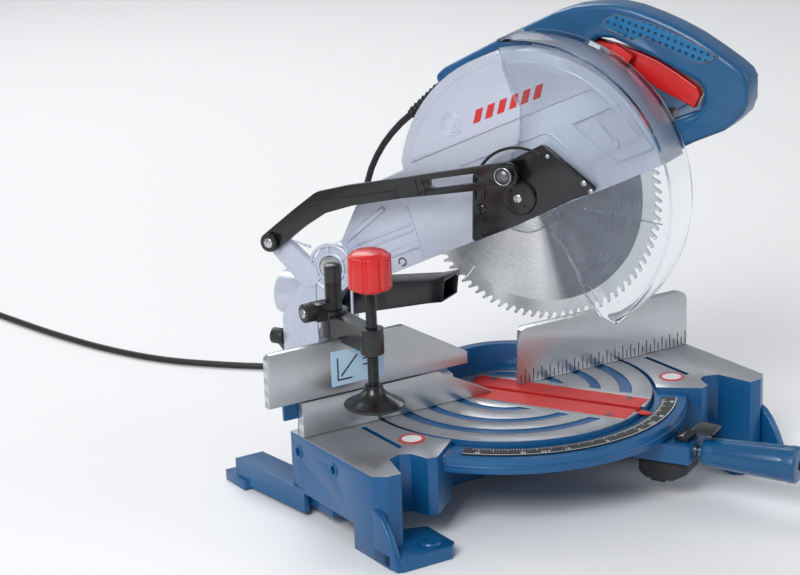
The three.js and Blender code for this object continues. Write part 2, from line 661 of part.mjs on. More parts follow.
// Swinging guard: a clear side plate and a rim, turning on the arbor
function lowerGuard() {
  const rearEdge = [[-13, 327], [-23, 301], [-30, 289], [-29, 259], [-20, 242]];
  const frontEdge = [[-60, 172], [-72, 161], [-86, 138], [-95, 114], [-111, 95]];
  const shrink = (bladeRadius - 127) / 127;
  const follow = ([y, h]) => [y + (y - arborY) * shrink, h + (h - arborHeight) * shrink];
  const sector = [
    ...arc(arborY, arborHeight, shieldOuter, 80.3, 231.4), ...frontEdge.map(follow).reverse(),
    arbor, ...rearEdge.map(follow).reverse(),
  ];
  const rim = [
    ...arc(arborY, arborHeight, shieldOuter, 80.3, 231.4), ...arc(arborY, arborHeight, shieldInner, 231.4, 80.3)];
  return cut(
    join(alongX(sector, shieldLeft, shieldLeft + 2), bar('x', 36, shieldLeft, shieldLeft + 2, arbor),
      alongX(rim, shieldLeft, guardHalfWidth + 3)),
    bar('x', 20.3, shieldLeft - 1, shieldLeft + 3, arbor),
  );
}
place(onTable, 'lower_guard', lowerGuard(), clearPlastic);
place(onTable, 'link_front_pin', join(
  bar('x', 4.5, wallLeft - 6.7, shieldLeft - gap, linkPin),
  bar('x', 4, linkLeft - 1, shieldLeft - 0.5, linkPin),
  bar('x', 10, linkLeft - 5, linkLeft - gap, linkPin)), blackMetal);

function guardLink() {
  const line = [linkPin, [34, 218], [87, 206], [141, 194], [173, 184], [198, 166], linkRear];
  const halfWidths = [12, 9.5, 9.5, 10, 11, 10, 10];
  const bars = line.slice(1).map((end, i) => alongX(
    loop(line[i], halfWidths[i], end, halfWidths[i + 1]), linkLeft, linkLeft + 5.7));
  return cut(
    join(...bars),
    alongX(loop([8, 223], 4.5, [50, 214], 4.5), linkLeft - 1, linkLeft + 7),
    bar('x', 6.2, linkLeft - 1, linkLeft + 7, linkPin),
    bar('x', 4.3, linkLeft - 1, linkLeft + 7, linkRear),
  );
}
place(onTable, 'guard_link', guardLink(), blackMetal);

// Handle in two shells, with the trigger and the lock-off button
const handleMiddle = sideStart + handleWidth / 2;
function handleShell(low, high) {
  const outline = [
    [87, 298], [77, 307], [8, 344], [-41, 367], [-68, 378], [-101, 381], [-127, 377], [-171, 364], [-209, 342],
    [-232, 328], [-235, 320], [-235, 296], [-229, 283], [-210, 268], [-160, 244], [-140, 232], [-122, 240],
    [-128, 252], [-149, 270], [-180, 284], [-185, 290], [-186, 301], [-182, 309], [-138, 329], [-86, 345],
    [-62, 325], [-45, 300], [-40, 262], [0, 262], [60, 250],
  ];
  const opening = [
    [-82, 336], [-84, 351], [-128, 346], [-192, 325], [-199, 300], [-180, 284], [-150, 270],
  ];
  return cut(
    alongX(outline, low, high),
    bar('x', motorRadius + gap, plateX - gap, 200, motor),
    alongX(beltHousing(-0.6), 0, plateX + 4.4),
    alongX(opening, handleMiddle - 7, handleMiddle + 7),
    alongX([[-99, 344], [-121, 333], [-113, 319], [-91, 330]], 0, handleMiddle - 6),
    bar('x', 9, plateX - 2, 200, [arborY, arborHeight + 25]),
  );
}
place(onTable, 'handle_left', handleShell(sideStart, handleMiddle - 0.15), bluePlastic);
place(onTable, 'handle_right', handleShell(handleMiddle + 0.15, sideStart + handleWidth), bluePlastic);
place(onTable, 'trigger', alongX([
  [-87, 344], [-97, 346], [-128, 331], [-184, 309], [-185, 297], [-181, 289], [-151, 303], [-129, 318],
  [-114, 328], [-92, 336]], handleMiddle - 5.7, handleMiddle + 5.7), redPlastic);
place(onTable, 'lock_off', alongX([[-101, 342], [-119, 332], [-112, 321], [-94, 331]],
  sideStart - 1, handleMiddle - 9.5), redPlastic);

// Dust chute and outlet
function dustChute() {
  const outer = [[172, 60], [172, 92], [75, 107], [58, 112], [61, 87], [76, 84]];
  const inner = [[175, 62.5], [175, 89], [75, 104], [50, 110], [50, 90], [76, 87]];
  return cut(alongX(outer, -17, 17), alongX(inner, -14.5, 14.5));
}
place(onTable, 'dust_chute', dustChute(), blackPlastic);
place(onTable, 'dust_outlet', ring('y', guardHalfWidth, guardHalfWidth - 3, 172.3, 248, [0, outletHeight]), silverPaint);

// Mains lead: held on the head, clipped to the bracket, then free from a gland on the turntable
const reliefStart = [82.2, 285.6];
const reliefEnd = [116.9, 257.2];
const leadX = sideStart + 8;
function strainRelief() {
  const length = Math.hypot(reliefEnd[0] - reliefStart[0], reliefEnd[1] - reliefStart[1]);
  const lean = Math.atan2(reliefEnd[1] - reliefStart[1], reliefEnd[0] - reliefStart[0]);
  const cone = new THREE.CylinderGeometry(4.6, 7, length, 16);
  cone.translate(0, length / 2, 0).rotateX(lean).translate(leadX, ...reliefStart);
  return bare(cone);
}
place(onTable, 'strain_relief', strainRelief(), rubber);

const clipAt = [cheekOuter + 7, 200, 62];
const leadUpperRoute = [
  [leadX, 117.3, 256.9], [leadX + 2, 133, 243.5], [leadX + 5, 152, 222], [leadX + 9, 168, 196],
  [cheekOuter + 11, 182, 160], [cheekOuter + 9, 192, 115], [clipAt[0], 199.5, 90], [clipAt[0], 200, 83],
  [clipAt[0], 200, 75.4],
];
place(onTable, 'lead_upper', cordAlong(leadUpperRoute), rubber);
place(onTable, 'cord_clip', join(
  box(clipAt[0] - 6, clipAt[0] + 6, clipAt[1] - 6, clipAt[1] + 6, clipAt[2] - 13, clipAt[2] + 13),
  box(cheekOuter + gap, clipAt[0] - 5, clipAt[1] - 5, clipAt[1] + 5, clipAt[2] - 8, clipAt[2] + 8),
), blackPlastic);
const glandAt = [hubRadius + 9, 166, -16];
place(onTable, 'lead_lower', cordAlong([
  [clipAt[0], 200, 48.6], [clipAt[0], 200, 41], [clipAt[0] + 1, 192, 24], [clipAt[0] + 1, 178, 12],
  [glandAt[0], 167, 6], [glandAt[0], 166, 0], [glandAt[0], 166, -5.6],
]), rubber);

place(onTable, 'cord_gland', box(
  glandAt[0] - 8.7, glandAt[0] + 7, glandAt[1] - 8, glandAt[1] + 7, glandAt[2] - 9, glandAt[2] + 10), blackPlastic);

// ---- Free cord, in the base frame: off the gland, over the rear leg's height, then along the bench ----
const turned = (x, y, height) => {
  const a = toRadians(mitreAngle);
  return [x * Math.cos(a) - y * Math.sin(a), x * Math.sin(a) + y * Math.cos(a), tableHeight + height];
};
const cordExit = turned(glandAt[0] + 1, glandAt[1] + 7.3, glandAt[2]);
const onBench = cordDiameter / 2 + 0.1;
const cordRoute = [
  cordExit, [-45.4, 182.7, 64.2], [-49, 194, 64], [-49, 208, 62], [-45, 224, 57], [-39, 241, 47], [-33, 258, 33],
  [-27, 276, 18], [-20, 294, 7], [-12, 312, onBench], [-2, 332, onBench], [2, 350, onBench], [-4, 368, onBench],
  [-20, 386, onBench],
  [-50, 409, onBench], [-86, 445, onBench], [-128, 498, onBench], [-162, 570, onBench], [-189, 662, onBench],
  [-212, 774, onBench], [-220, 815, onBench], [-225.4, 840, onBench], [-226.5, 853, onBench],
];
place(saw, 'cord', cordAlong(cordRoute), rubber);

// The rest of the cord lies coiled; its last turn leaves the coil's far side towards -X, at the plug
const coilCentre = [-271, 880];
const coilMiddle = 37.5;
const coilHalf = 1.5 * cordDiameter + 0.6;
const coilHeight = 3 * cordDiameter;
const coilProfile = [
  [coilMiddle - coilHalf, 0.1], [coilMiddle + coilHalf, 0.1], [coilMiddle + coilHalf, coilHeight],
  [coilMiddle - coilHalf, coilHeight], [coilMiddle - coilHalf, 0.1],
].map(([r, z]) => new THREE.Vector2(r, z));
const coil = bare(new THREE.LatheGeometry(coilProfile, 40)).rotateX(Math.PI / 2);
place(saw, 'cord_coil', coil.translate(coilCentre[0], coilCentre[1], 0), rubber);

const plugFront = coilCentre[0] - 62;
const plugY = coilCentre[1] + coilMiddle + coilHalf - cordDiameter / 2;
const plugHeight = 15;
function plug() {
  const relief = bar('x', 4, plugFront - 2, coilCentre[0] - 27, [plugY, plugHeight], cordDiameter / 2);
  const pins = [-9.5, 9.5].map((side) => bar('x', 2.3, plugFront - 57, plugFront - 37, [plugY + side, plugHeight]));
  return join(box(plugFront - 38, plugFront, plugY - 17, plugY + 17, 0.1, 2 * plugHeight), relief, ...pins);
}
place(saw, 'plug', plug(), blackPlastic);

export default saw;
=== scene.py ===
import json
import math
import bpy
from mathutils import Matrix, Vector


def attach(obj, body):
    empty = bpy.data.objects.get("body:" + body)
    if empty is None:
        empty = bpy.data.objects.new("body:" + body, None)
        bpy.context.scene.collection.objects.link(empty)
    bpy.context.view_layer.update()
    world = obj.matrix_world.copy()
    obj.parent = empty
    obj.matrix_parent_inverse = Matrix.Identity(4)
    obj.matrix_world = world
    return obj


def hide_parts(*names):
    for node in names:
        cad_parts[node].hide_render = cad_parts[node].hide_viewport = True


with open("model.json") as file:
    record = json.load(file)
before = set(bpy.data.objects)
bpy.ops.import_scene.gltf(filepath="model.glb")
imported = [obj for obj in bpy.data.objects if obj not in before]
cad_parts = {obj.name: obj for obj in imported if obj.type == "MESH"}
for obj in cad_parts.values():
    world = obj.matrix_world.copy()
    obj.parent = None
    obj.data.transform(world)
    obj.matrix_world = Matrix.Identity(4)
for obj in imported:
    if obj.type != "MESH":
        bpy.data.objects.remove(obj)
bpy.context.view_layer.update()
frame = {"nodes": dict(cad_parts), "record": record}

mm = 0.001
noTurn = Matrix.Identity(4)
tableTurn = Matrix.Translation((0, 0, 0.08)) @ Matrix.Rotation(math.radians(30), 4, "Z")  # the turntable's own frame

# Camera
camera = {"place": (-1.1838, -1.7197, 0.8214), "lens": 102.38,
          "right": (0.84496, -0.53393, -0.03103), "up": (0.18050, 0.23007, 0.95629), "back": (-0.50345, -0.81363, 0.29078)}


def placeCamera():
    data = bpy.data.cameras.new("camera")
    data.sensor_width, data.lens = 36, camera["lens"]
    data.clip_start, data.clip_end = 0.05, 50
    view = bpy.data.objects.new("camera", data)
    bpy.context.scene.collection.objects.link(view)
    turned = Matrix((camera["right"], camera["up"], camera["back"])).transposed().to_4x4()
    view.matrix_world = Matrix.Translation(camera["place"]) @ turned
    bpy.context.scene.camera = view


placeCamera()


# Shading: sums on sockets, and one way to add any node
class Value:
    def __init__(self, shader, socket):
        self.shader, self.socket = shader, socket

    def sum(self, operation, *values):
        return self.shader.node("ShaderNodeMath", {"operation": operation}, list(values))

    def __add__(self, other):
        return self.sum("ADD", self, other)

    def __radd__(self, other):
        return self.sum("ADD", other, self)

    def __sub__(self, other):
        return self.sum("SUBTRACT", self, other)

    def __rsub__(self, other):
        return self.sum("SUBTRACT", other, self)

    def __mul__(self, other):
        return self.sum("MULTIPLY", self, other)

    def __rmul__(self, other):
        return self.sum("MULTIPLY", other, self)

    def __truediv__(self, other):
        return self.sum("DIVIDE", self, other)

    def __gt__(self, other):
        return self.sum("GREATER_THAN", self, other)

    def __lt__(self, other):
        return self.sum("LESS_THAN", self, other)


class Shader:
    def __init__(self, name, turned=False):
        self.material = bpy.data.materials.new(name)
        self.material.use_nodes = True
        self.tree = self.material.node_tree
        self.tree.nodes.clear()
        self.where = self.node("ShaderNodeTexCoord", out="Object")
        if turned:  # the pattern follows the turntable's frame
            self.where = self.node("ShaderNodeMapping", {}, {"Vector": self.where, "Location": (0, 0, -0.08)})
            self.where = self.node("ShaderNodeMapping", {}, {"Vector": self.where, "Rotation": (0, 0, math.radians(-30))})

    def node(self, kind, settings=None, inputs=None, out=0):
        made = self.tree.nodes.new(kind)
        for key, value in (settings or {}).items():
            if key == "stops":
                while len(made.color_ramp.elements) < len(value):
                    made.color_ramp.elements.new(1)
                for element, (at, color) in zip(made.color_ramp.elements, value):
                    element.position, element.color = at, (*color, 1)
            else:
                setattr(made, key, value)
        pairs = inputs.items() if isinstance(inputs, dict) else enumerate(inputs or [])
        for key, value in pairs:
            if isinstance(value, Value):
                self.tree.links.new(value.socket, made.inputs[key])
            else:
                made.inputs[key].default_value = value
        return Value(self, made.outputs[out])

    def parts(self, vector):
        split = self.tree.nodes.new("ShaderNodeSeparateXYZ")
        self.tree.links.new(vector.socket, split.inputs[0])
        return [Value(self, split.outputs[i]) for i in range(3)]

    def noise(self, scale, detail=2, roughness=0.5, vector=None):
        return self.node("ShaderNodeTexNoise", {}, {"Vector": vector or self.where, "Scale": scale, "Detail": detail,
                                                    "Roughness": roughness})

    def mix(self, factor, first, second):
        return self.node("ShaderNodeMix", {"data_type": "RGBA"}, {0: factor, 6: self.rgb(first), 7: self.rgb(second)}, 2)

    def rgb(self, color):
        return color if isinstance(color, Value) else (*color, 1)

    def smooth(self, value, low, high):
        return self.node("ShaderNodeMapRange", {"interpolation_type": "SMOOTHSTEP"},
                         {0: value, 1: low, 2: high, 3: 0.0, 4: 1.0})

    def bump(self, height, strength=0.3, depth=0.0005, normal=None):
        inputs = {"Height": height, "Strength": strength, "Distance": depth}
        if normal:
            inputs["Normal"] = normal
        return self.node("ShaderNodeBump", {}, inputs)

    def skin(self, color, roughness, metallic=0.0, normal=None, **fixed):
        inputs = {"Base Color": self.rgb(color), "Roughness": roughness, "Metallic": metallic}
        if normal:
            inputs["Normal"] = normal
        inputs.update({key.replace("_", " "): value for key, value in fixed.items()})
        return self.node("ShaderNodeBsdfPrincipled", {}, inputs)

    def done(self, surface):
        output = self.tree.nodes.new("ShaderNodeOutputMaterial")
        self.tree.links.new(surface.socket, output.inputs["Surface"])
        return self.material


blue = {"deep": (0.002, 0.062, 0.19), "light": (0.004, 0.115, 0.30), "speck": (0.03, 0.26, 0.52)}
silver = {"paint": (0.58, 0.62, 0.73), "shade": (0.48, 0.52, 0.64)}
metal = {"bright": (0.80, 0.81, 0.83), "dull": (0.36, 0.38, 0.41)}
red = {"knob": (0.56, 0.006, 0.008), "insert": (0.46, 0.014, 0.014)}


def bluePaintOn(s):
    specks = s.smooth(s.noise(1500, 1), 0.60, 0.74)
    broad = s.noise(14, 3)
    color = s.mix(broad, blue["deep"], blue["light"])
    color = s.mix(specks * 0.55, color, blue["speck"])
    rough = s.noise(500, 2) * 0.16 + 0.27
    grain = s.bump(s.noise(900, 3), 0.16, 0.0004)
    return s.skin(color, rough, 0.12, grain, Coat_Weight=0.22, Coat_Roughness=0.2)


def millMarks(s, along, period=0.0011, strength=0.35):
    # fine parallel tool marks, and broad dull and bright streaks
    step = s.node("ShaderNodeMath", {"operation": "SINE"}, [along * (2 * math.pi / period)])
    streak = s.noise(1, 3, 0.6, s.node("ShaderNodeCombineXYZ", {}, {0: along * 900}))
    color = s.mix(step * 0.35 + 0.4 + streak * 0.25, metal["dull"], metal["bright"])
    blotch = s.noise(55, 3)
    color = s.mix(blotch * 0.35, color, metal["dull"])
    bump = s.bump(step * 0.5 + streak, strength, 0.00012)
    return s.skin(color, streak * 0.18 + 0.24, 0.9, bump)


def paintBlue():
    s = Shader("blueCasting")
    return s.done(bluePaintOn(s))


def baseFinish():
    s = Shader("blueCastingMilledTops")
    x, y, z = s.parts(s.where)
    top = s.smooth(z, 0.07955, 0.0798)
    return s.done(s.node("ShaderNodeMixShader", {}, [top, bluePaintOn(s), millMarks(s, y + x * 0.25)]))


def tableFinish():
    s = Shader("milledTable", turned=True)
    x, y, z = s.parts(s.where)
    top = s.smooth(z, -0.0006, -0.00015)
    return s.done(s.node("ShaderNodeMixShader", {}, [top, bluePaintOn(s), millMarks(s, y * 0.9 + x * 0.35)]))


def milledFence():
    # ground in front, painted behind
    s = Shader("milledFence")
    x, y, z = s.parts(s.where)
    back = s.smooth(y, 0.0132, 0.0136)
    return s.done(s.node("ShaderNodeMixShader", {}, [back, millMarks(s, x + z * 0.12, 0.0014, 0.4), bluePaintOn(s)]))


def dottedGrip():
    s = Shader("dottedGrip", turned=True)
    x, y, z = s.parts(s.where)
    # the rows of dots run along the grip
    grid = s.node("ShaderNodeCombineXYZ", {}, {0: y * 0.952 + z * 0.305, 1: z * 0.952 - y * 0.305})
    dots = s.node("ShaderNodeTexVoronoi", {"voronoi_dimensions": "2D"}, {"Vector": grid, "Scale": 150.0,
                                                                        "Randomness": 0.0})
    holes = s.smooth(dots, 0.26, 0.17)
    return s.done(s.skin(s.mix(holes, (0.006, 0.14, 0.33), (0.0, 0.02, 0.08)), 0.36 + holes * 0.2, 0.0,
                         s.bump(1 - holes, 0.8, 0.0009)))


def milledTube():
    s = Shader("milledTube", turned=True)
    x, y, z = s.parts(s.where)
    return s.done(millMarks(s, y, 0.0009, 0.2))


def silverPaint():
    s = Shader("silverPaint")
    color = s.mix(s.noise(18, 3), silver["shade"], silver["paint"])
    color = s.mix(s.smooth(s.noise(1300, 2), 0.42, 0.7) * 0.35, color, (0.84, 0.87, 0.93))
    color = s.mix(s.smooth(s.noise(1000, 2), 0.55, 0.75) * 0.3, color, (0.30, 0.34, 0.46))
    grain = s.bump(s.noise(1100, 3), 0.12, 0.0003)
    return s.done(s.skin(color, s.noise(600, 2) * 0.12 + 0.3, 0.35, grain, Coat_Weight=0.3, Coat_Roughness=0.2))


def plastic(name, first, second, rough, grainSize=1400, grainStrength=0.15, coat=0.0):
    s = Shader(name)
    color = s.mix(s.noise(40, 3), first, second)
    grain = s.bump(s.noise(grainSize, 2), grainStrength, 0.0003)
    return s.done(s.skin(color, s.noise(300, 2) * 0.1 + rough, 0.0, grain, Coat_Weight=coat, Coat_Roughness=0.15))


def steel(name, color, rough, brushed=800):
    s = Shader(name, turned=True)
    x, y, z = s.parts(s.where)
    lines = s.noise(1, 3, 0.6, s.node("ShaderNodeCombineXYZ", {}, {0: x * brushed, 1: y * brushed, 2: z * brushed * 0.2}))
    tone = s.mix(lines, tuple(c * 0.78 for c in color), color)
    return s.done(s.skin(tone, lines * 0.14 + rough, 1.0, s.bump(lines, 0.12, 0.0002)))


arborPlace = (-32, 205)


def bladeFinish():
    # rings from grinding, a brighter rim, a darker band behind the teeth, and a painted highlight: two bright cones of
    # reflected light put into the colour
    s = Shader("groundBlade", turned=True)
    x, y, z = s.parts(s.where)
    side, up = y - arborPlace[0] * mm, z - arborPlace[1] * mm
    radius = s.node("ShaderNodeMath", {"operation": "SQRT"}, [side * side + up * up])
    angle = s.node("ShaderNodeMath", {"operation": "ARCTAN2"}, [up, side])
    rings = s.noise(1, 3, 0.65, s.node("ShaderNodeCombineXYZ", {}, {0: radius * 2600, 1: angle * 3}))
    spokes = s.noise(1, 2, 0.5, s.node("ShaderNodeCombineXYZ", {}, {0: angle * 9, 1: radius * 6}))
    # painted highlight: the bright pair of reflected cones that a ground disc shows, painted into the base colour
    highlightCones = s.node("ShaderNodeMath", {"operation": "COSINE"}, [(angle + 1.2) * 2])
    fine = s.node("ShaderNodeMath", {"operation": "COSINE"}, [(angle + 0.2) * 5])
    paintedHighlight = s.smooth(highlightCones + fine * 0.25 + spokes * 0.35, 0.15, 1.15)
    color = s.mix(rings * 0.5 + spokes * 0.3, (0.10, 0.11, 0.14), (0.30, 0.32, 0.36))
    # painted highlight: the cones lift the blade's colour towards near-white
    color = s.mix(paintedHighlight, color, (0.92, 0.93, 0.95))
    rim = s.smooth(radius, 0.1085, 0.1095)
    color = s.mix(rim * 0.7, color, (0.72, 0.73, 0.75))
    bump = s.bump(rings, 0.5, 0.00012)
    return s.done(s.skin(color, rings * 0.15 + 0.2 - rim * 0.08, 1.0, bump))


def clearPlastic():
    s = Shader("clearGuard")
    return s.done(s.skin((0.93, 0.96, 0.985), s.noise(30, 2) * 0.04 + 0.02, 0.0, s.bump(s.noise(25, 1), 0.03, 0.0006),
                         Transmission_Weight=1.0, IOR=1.35))


def rubberSkin():
    s = Shader("blackRubber")
    grain = s.bump(s.noise(2200, 2), 0.2, 0.0002)
    return s.done(s.skin(s.mix(s.noise(60, 2), (0.008, 0.008, 0.009), (0.018, 0.018, 0.02)), s.noise(400, 2) * 0.15 + 0.45,
                         0.0, grain))


finishes = {
    "paintBlue": paintBlue(), "base": baseFinish(), "table": tableFinish(), "fence": milledFence(), "tube": milledTube(),
    "silver": silverPaint(), "blade": bladeFinish(), "gripDots": dottedGrip(), "clear": clearPlastic(), "rubber": rubberSkin(),
    "bluePlastic": plastic("bluePlastic", (0.002, 0.062, 0.17), (0.004, 0.105, 0.26), 0.3, 1600, 0.12, 0.2),
    "redPlastic": plastic("redPlastic", red["insert"], (0.60, 0.03, 0.02), 0.38),
    "redGloss": plastic("redGloss", red["knob"], (0.64, 0.012, 0.012), 0.26, 900, 0.05, 0.3),
    "blackGloss": plastic("blackGloss", (0.003, 0.003, 0.004), (0.008, 0.008, 0.010), 0.24, 700, 0.08, 0.25),
    "blackPlastic": plastic("blackPlastic", (0.01, 0.01, 0.011), (0.022, 0.022, 0.024), 0.42, 1500, 0.3),
    "steel": steel("plainSteel", (0.60, 0.61, 0.63), 0.22),
    "darkSteel": steel("darkSteel", (0.22, 0.22, 0.24), 0.32),
    "copper": steel("copperWinding", (0.70, 0.30, 0.15), 0.3),
    "white": plastic("whiteMark", (0.78, 0.79, 0.80), (0.84, 0.85, 0.86), 0.5),
    "paleBlue": plastic("paleBluePlate", (0.42, 0.62, 0.80), (0.50, 0.68, 0.84), 0.4),
}
print("materials made")


# Modelling helpers; lengths in millimetres, in the frame that `where` gives
turns = {"z": (0, 0, 0), "x": (0, math.pi / 2, 0), "y": (-math.pi / 2, 0, 0)}


def spot(axis, u, v, along):
    at = {"x": (along, u, v), "y": (u, along, v), "z": (u, v, along)}[axis]
    return Vector(at) * mm


def clear():
    if bpy.context.object and bpy.context.object.mode != "OBJECT":
        bpy.ops.object.mode_set(mode="OBJECT")
    bpy.ops.object.select_all(action="DESELECT")


def only(piece):
    clear()
    piece.select_set(True)
    bpy.context.view_layer.objects.active = piece


def fixed(piece):
    only(piece)
    bpy.ops.object.transform_apply(location=True, rotation=True, scale=True)
    return piece


def rod(axis, radius, low, high, place, sides=40, end=None):
    clear()
    bpy.ops.mesh.primitive_cone_add(vertices=sides, radius1=radius * mm, radius2=(radius if end is None else end) * mm,
                                    depth=(high - low) * mm, location=spot(axis, *place, (low + high) / 2),
                                    rotation=turns[axis])
    return fixed(bpy.context.object)


def slab(axis, points, low, high):
    clear()
    bpy.ops.mesh.primitive_circle_add(vertices=len(points), radius=1, fill_type="NGON")
    piece = bpy.context.object
    for vertex, (u, v) in zip(piece.data.vertices, points):
        vertex.co = spot(axis, u, v, low)
    bpy.ops.object.mode_set(mode="EDIT")
    bpy.ops.mesh.select_all(action="SELECT")
    bpy.ops.mesh.extrude_region_move(TRANSFORM_OT_translate={"value": spot(axis, 0, 0, high - low)})
    bpy.ops.mesh.select_all(action="SELECT")
    bpy.ops.mesh.normals_make_consistent(inside=False)
    bpy.ops.object.mode_set(mode="OBJECT")
    return piece


def block(x0, x1, y0, y1, z0, z1):
    clear()
    bpy.ops.mesh.primitive_cube_add(size=mm, location=((x0 + x1) / 2 * mm, (y0 + y1) / 2 * mm, (z0 + z1) / 2 * mm))
    piece = bpy.context.object
    piece.scale = (x1 - x0, y1 - y0, z1 - z0)
    return fixed(piece)


def ball(radius, place, squash=(1, 1, 1), rings=12):
    clear()
    bpy.ops.mesh.primitive_uv_sphere_add(segments=rings * 2, ring_count=rings, radius=radius * mm,
                                         location=Vector(place) * mm)
    piece = bpy.context.object
    piece.scale = squash
    return fixed(piece)


def ringBar(axis, radius, thick, along, place, sides=48, section=10):
    clear()
    bpy.ops.mesh.primitive_torus_add(major_radius=radius * mm, minor_radius=thick * mm, major_segments=sides,
                                     minor_segments=section, location=spot(axis, *place, along), rotation=turns[axis])
    return fixed(bpy.context.object)


def lathe(axis, profile, place, sides=48):
    # a profile of (radius, along) pairs spun about an axis
    clear()
    bpy.ops.mesh.primitive_circle_add(vertices=len(profile), radius=1, fill_type="NOTHING")
    piece = bpy.context.object
    for vertex, (radius, along) in zip(piece.data.vertices, profile):
        vertex.co = Vector((radius, 0, along)) * mm
    bpy.ops.object.mode_set(mode="EDIT")
    bpy.ops.mesh.select_all(action="SELECT")
    bpy.ops.mesh.spin(steps=sides, angle=2 * math.pi, center=(0, 0, 0), axis=(0, 0, 1))
    bpy.ops.mesh.select_all(action="SELECT")
    bpy.ops.mesh.remove_doubles(threshold=1e-6)
    bpy.ops.mesh.normals_make_consistent(inside=False)
    bpy.ops.object.mode_set(mode="OBJECT")
    piece.rotation_euler = turns[axis]
    piece.location = spot(axis, *place, 0)
    return fixed(piece)


def apply(piece, kind, **settings):
    only(piece)
    made = piece.modifiers.new(kind.lower(), kind)
    for key, value in settings.items():
        setattr(made, key, value)
    bpy.ops.object.modifier_apply(modifier=made.name)
    return piece


def rounded(piece, width, segments=2, angle=32):
    return apply(piece, "BEVEL", width=width * mm, segments=segments, limit_method="ANGLE",
                 angle_limit=math.radians(angle), harden_normals=False)


def carve(piece, *tools):
    for tool in tools:
        apply(piece, "BOOLEAN", object=tool, operation="DIFFERENCE", solver="EXACT")
        bpy.data.objects.remove(tool)
    return piece


def joined(*pieces):
    clear()
    for piece in pieces:
        piece.select_set(True)
    bpy.context.view_layer.objects.active = pieces[0]
    bpy.ops.object.join()
    return bpy.context.object


def copyOf(piece, shift=(0, 0, 0), turn=None):
    # a copy with its own mesh, moved and turned in the mesh
    made = piece.copy()
    made.data = piece.data.copy()
    bpy.context.scene.collection.objects.link(made)
    if turn:
        made.data.transform(turn)
    made.data.transform(Matrix.Translation(Vector(shift) * mm))
    return made


def spinAbout(axis, place, degrees):
    at = spot(axis, *place, 0)
    direction = {"x": (1, 0, 0), "y": (0, 1, 0), "z": (0, 0, 1)}[axis]
    return Matrix.Translation(at) @ Matrix.Rotation(math.radians(degrees), 4, direction) @ Matrix.Translation(-at)


def finish(piece, name, body, look, where=tableTurn, smooth=32, replaces=()):
    piece.data.transform(where)
    piece.name = piece.data.name = name
    piece.data.materials.clear()
    piece.data.materials.append(finishes[look])
    only(piece)
    bpy.ops.object.shade_smooth_by_angle(angle=math.radians(smooth))
    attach(piece, body)
    if replaces:
        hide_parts(*replaces)
    return piece


def arc(cx, cy, radius, low, high, steps=24):
    points = []
    for i in range(steps + 1):
        angle = math.radians(low + (high - low) * i / steps)
        points.append((cx + radius * math.cos(angle), cy + radius * math.sin(angle)))
    return points


# The mains cord: off the gland, down to the bench, and its rest in a coil
cordFacts = {"diameter": 6.8, "coil": (-271, 880), "outer": 44.3, "middle": 37.5, "inner": 30.7,
             "layers": (3.5, 10.3, 17.1), "plugJoin": (-300, 924.3, 15.6), "perTurn": 48,
             "exit": None}
leaving = tableTurn @ (Vector((52, 173.3, -16)) * mm) / mm
route = [tuple(leaving), (-45.4, 182.7, 64.2), (-49, 194, 64), (-49, 208, 62), (-45, 224, 57), (-39, 241, 47),
         (-33, 258, 33), (-27, 276, 18), (-20, 294, 7), (-12, 312, 3.5), (-2, 332, 3.5), (2, 350, 3.5), (-4, 368, 3.5),
         (-20, 386, 3.5), (-50, 409, 3.5), (-86, 445, 3.5), (-128, 498, 3.5), (-162, 570, 3.5), (-189, 662, 3.5),
         (-212, 774, 3.5), (-220, 815, 3.5), (-225.4, 840, 3.5)]


def throughPoints(points, steps=6):
    # a smooth line through all the points, evenly eased
    ends = [Vector(points[0]) * 2 - Vector(points[1])] + [Vector(p) for p in points]
    ends.append(Vector(points[-1]) * 2 - Vector(points[-2]))
    line = []
    for a, b, c, d in zip(ends, ends[1:], ends[2:], ends[3:]):
        knots = [0]
        for p, q in ((a, b), (b, c), (c, d)):
            knots.append(knots[-1] + max((q - p).length, 1e-6) ** 0.5)
        t0, t1, t2, t3 = knots
        for i in range(steps):
            t = t1 + (t2 - t1) * i / steps
            a1 = a * ((t1 - t) / (t1 - t0)) + b * ((t - t0) / (t1 - t0))
            a2 = b * ((t2 - t) / (t2 - t1)) + c * ((t - t1) / (t2 - t1))
            a3 = c * ((t3 - t) / (t3 - t2)) + d * ((t - t2) / (t3 - t2))
            b1 = a1 * ((t2 - t) / (t2 - t0)) + a2 * ((t - t0) / (t2 - t0))
            b2 = a2 * ((t3 - t) / (t3 - t1)) + a3 * ((t - t1) / (t3 - t1))
            line.append(b1 * ((t2 - t) / (t2 - t1)) + b2 * ((t - t1) / (t2 - t1)))
    line.append(Vector(points[-1]))
    return line


def coilTurns():
    c = cordFacts
    bottom, second, top = c["layers"]
    # (whole turns so far in degrees, radius, height) where the turn changes place; between them it eases
    stops = [(0, c["outer"], bottom), (300, c["outer"], bottom), (360, c["middle"], bottom), (660, c["middle"], bottom),
             (720, c["inner"], bottom), (920, c["inner"], bottom), (1010, c["inner"], second),
             (1200, c["inner"], second), (1270, c["middle"], second), (1480, c["middle"], second),
             (1550, c["outer"], second), (1760, c["outer"], second), (1830, c["outer"], top), (1890, c["outer"], top)]
    line = []
    step = 360 / c["perTurn"]
    for (a0, r0, z0), (a1, r1, z1) in zip(stops, stops[1:]):
        count = max(1, round((a1 - a0) / step))
        for i in range(count):
            part = i / count
            ease = part * part * (3 - 2 * part)
            angle = math.radians(a0 + (a1 - a0) * part)
            radius, height = r0 + (r1 - r0) * ease, z0 + (z1 - z0) * ease
            line.append(Vector((c["coil"][0] + radius * math.cos(angle), c["coil"][1] + radius * math.sin(angle), height)))
    return line


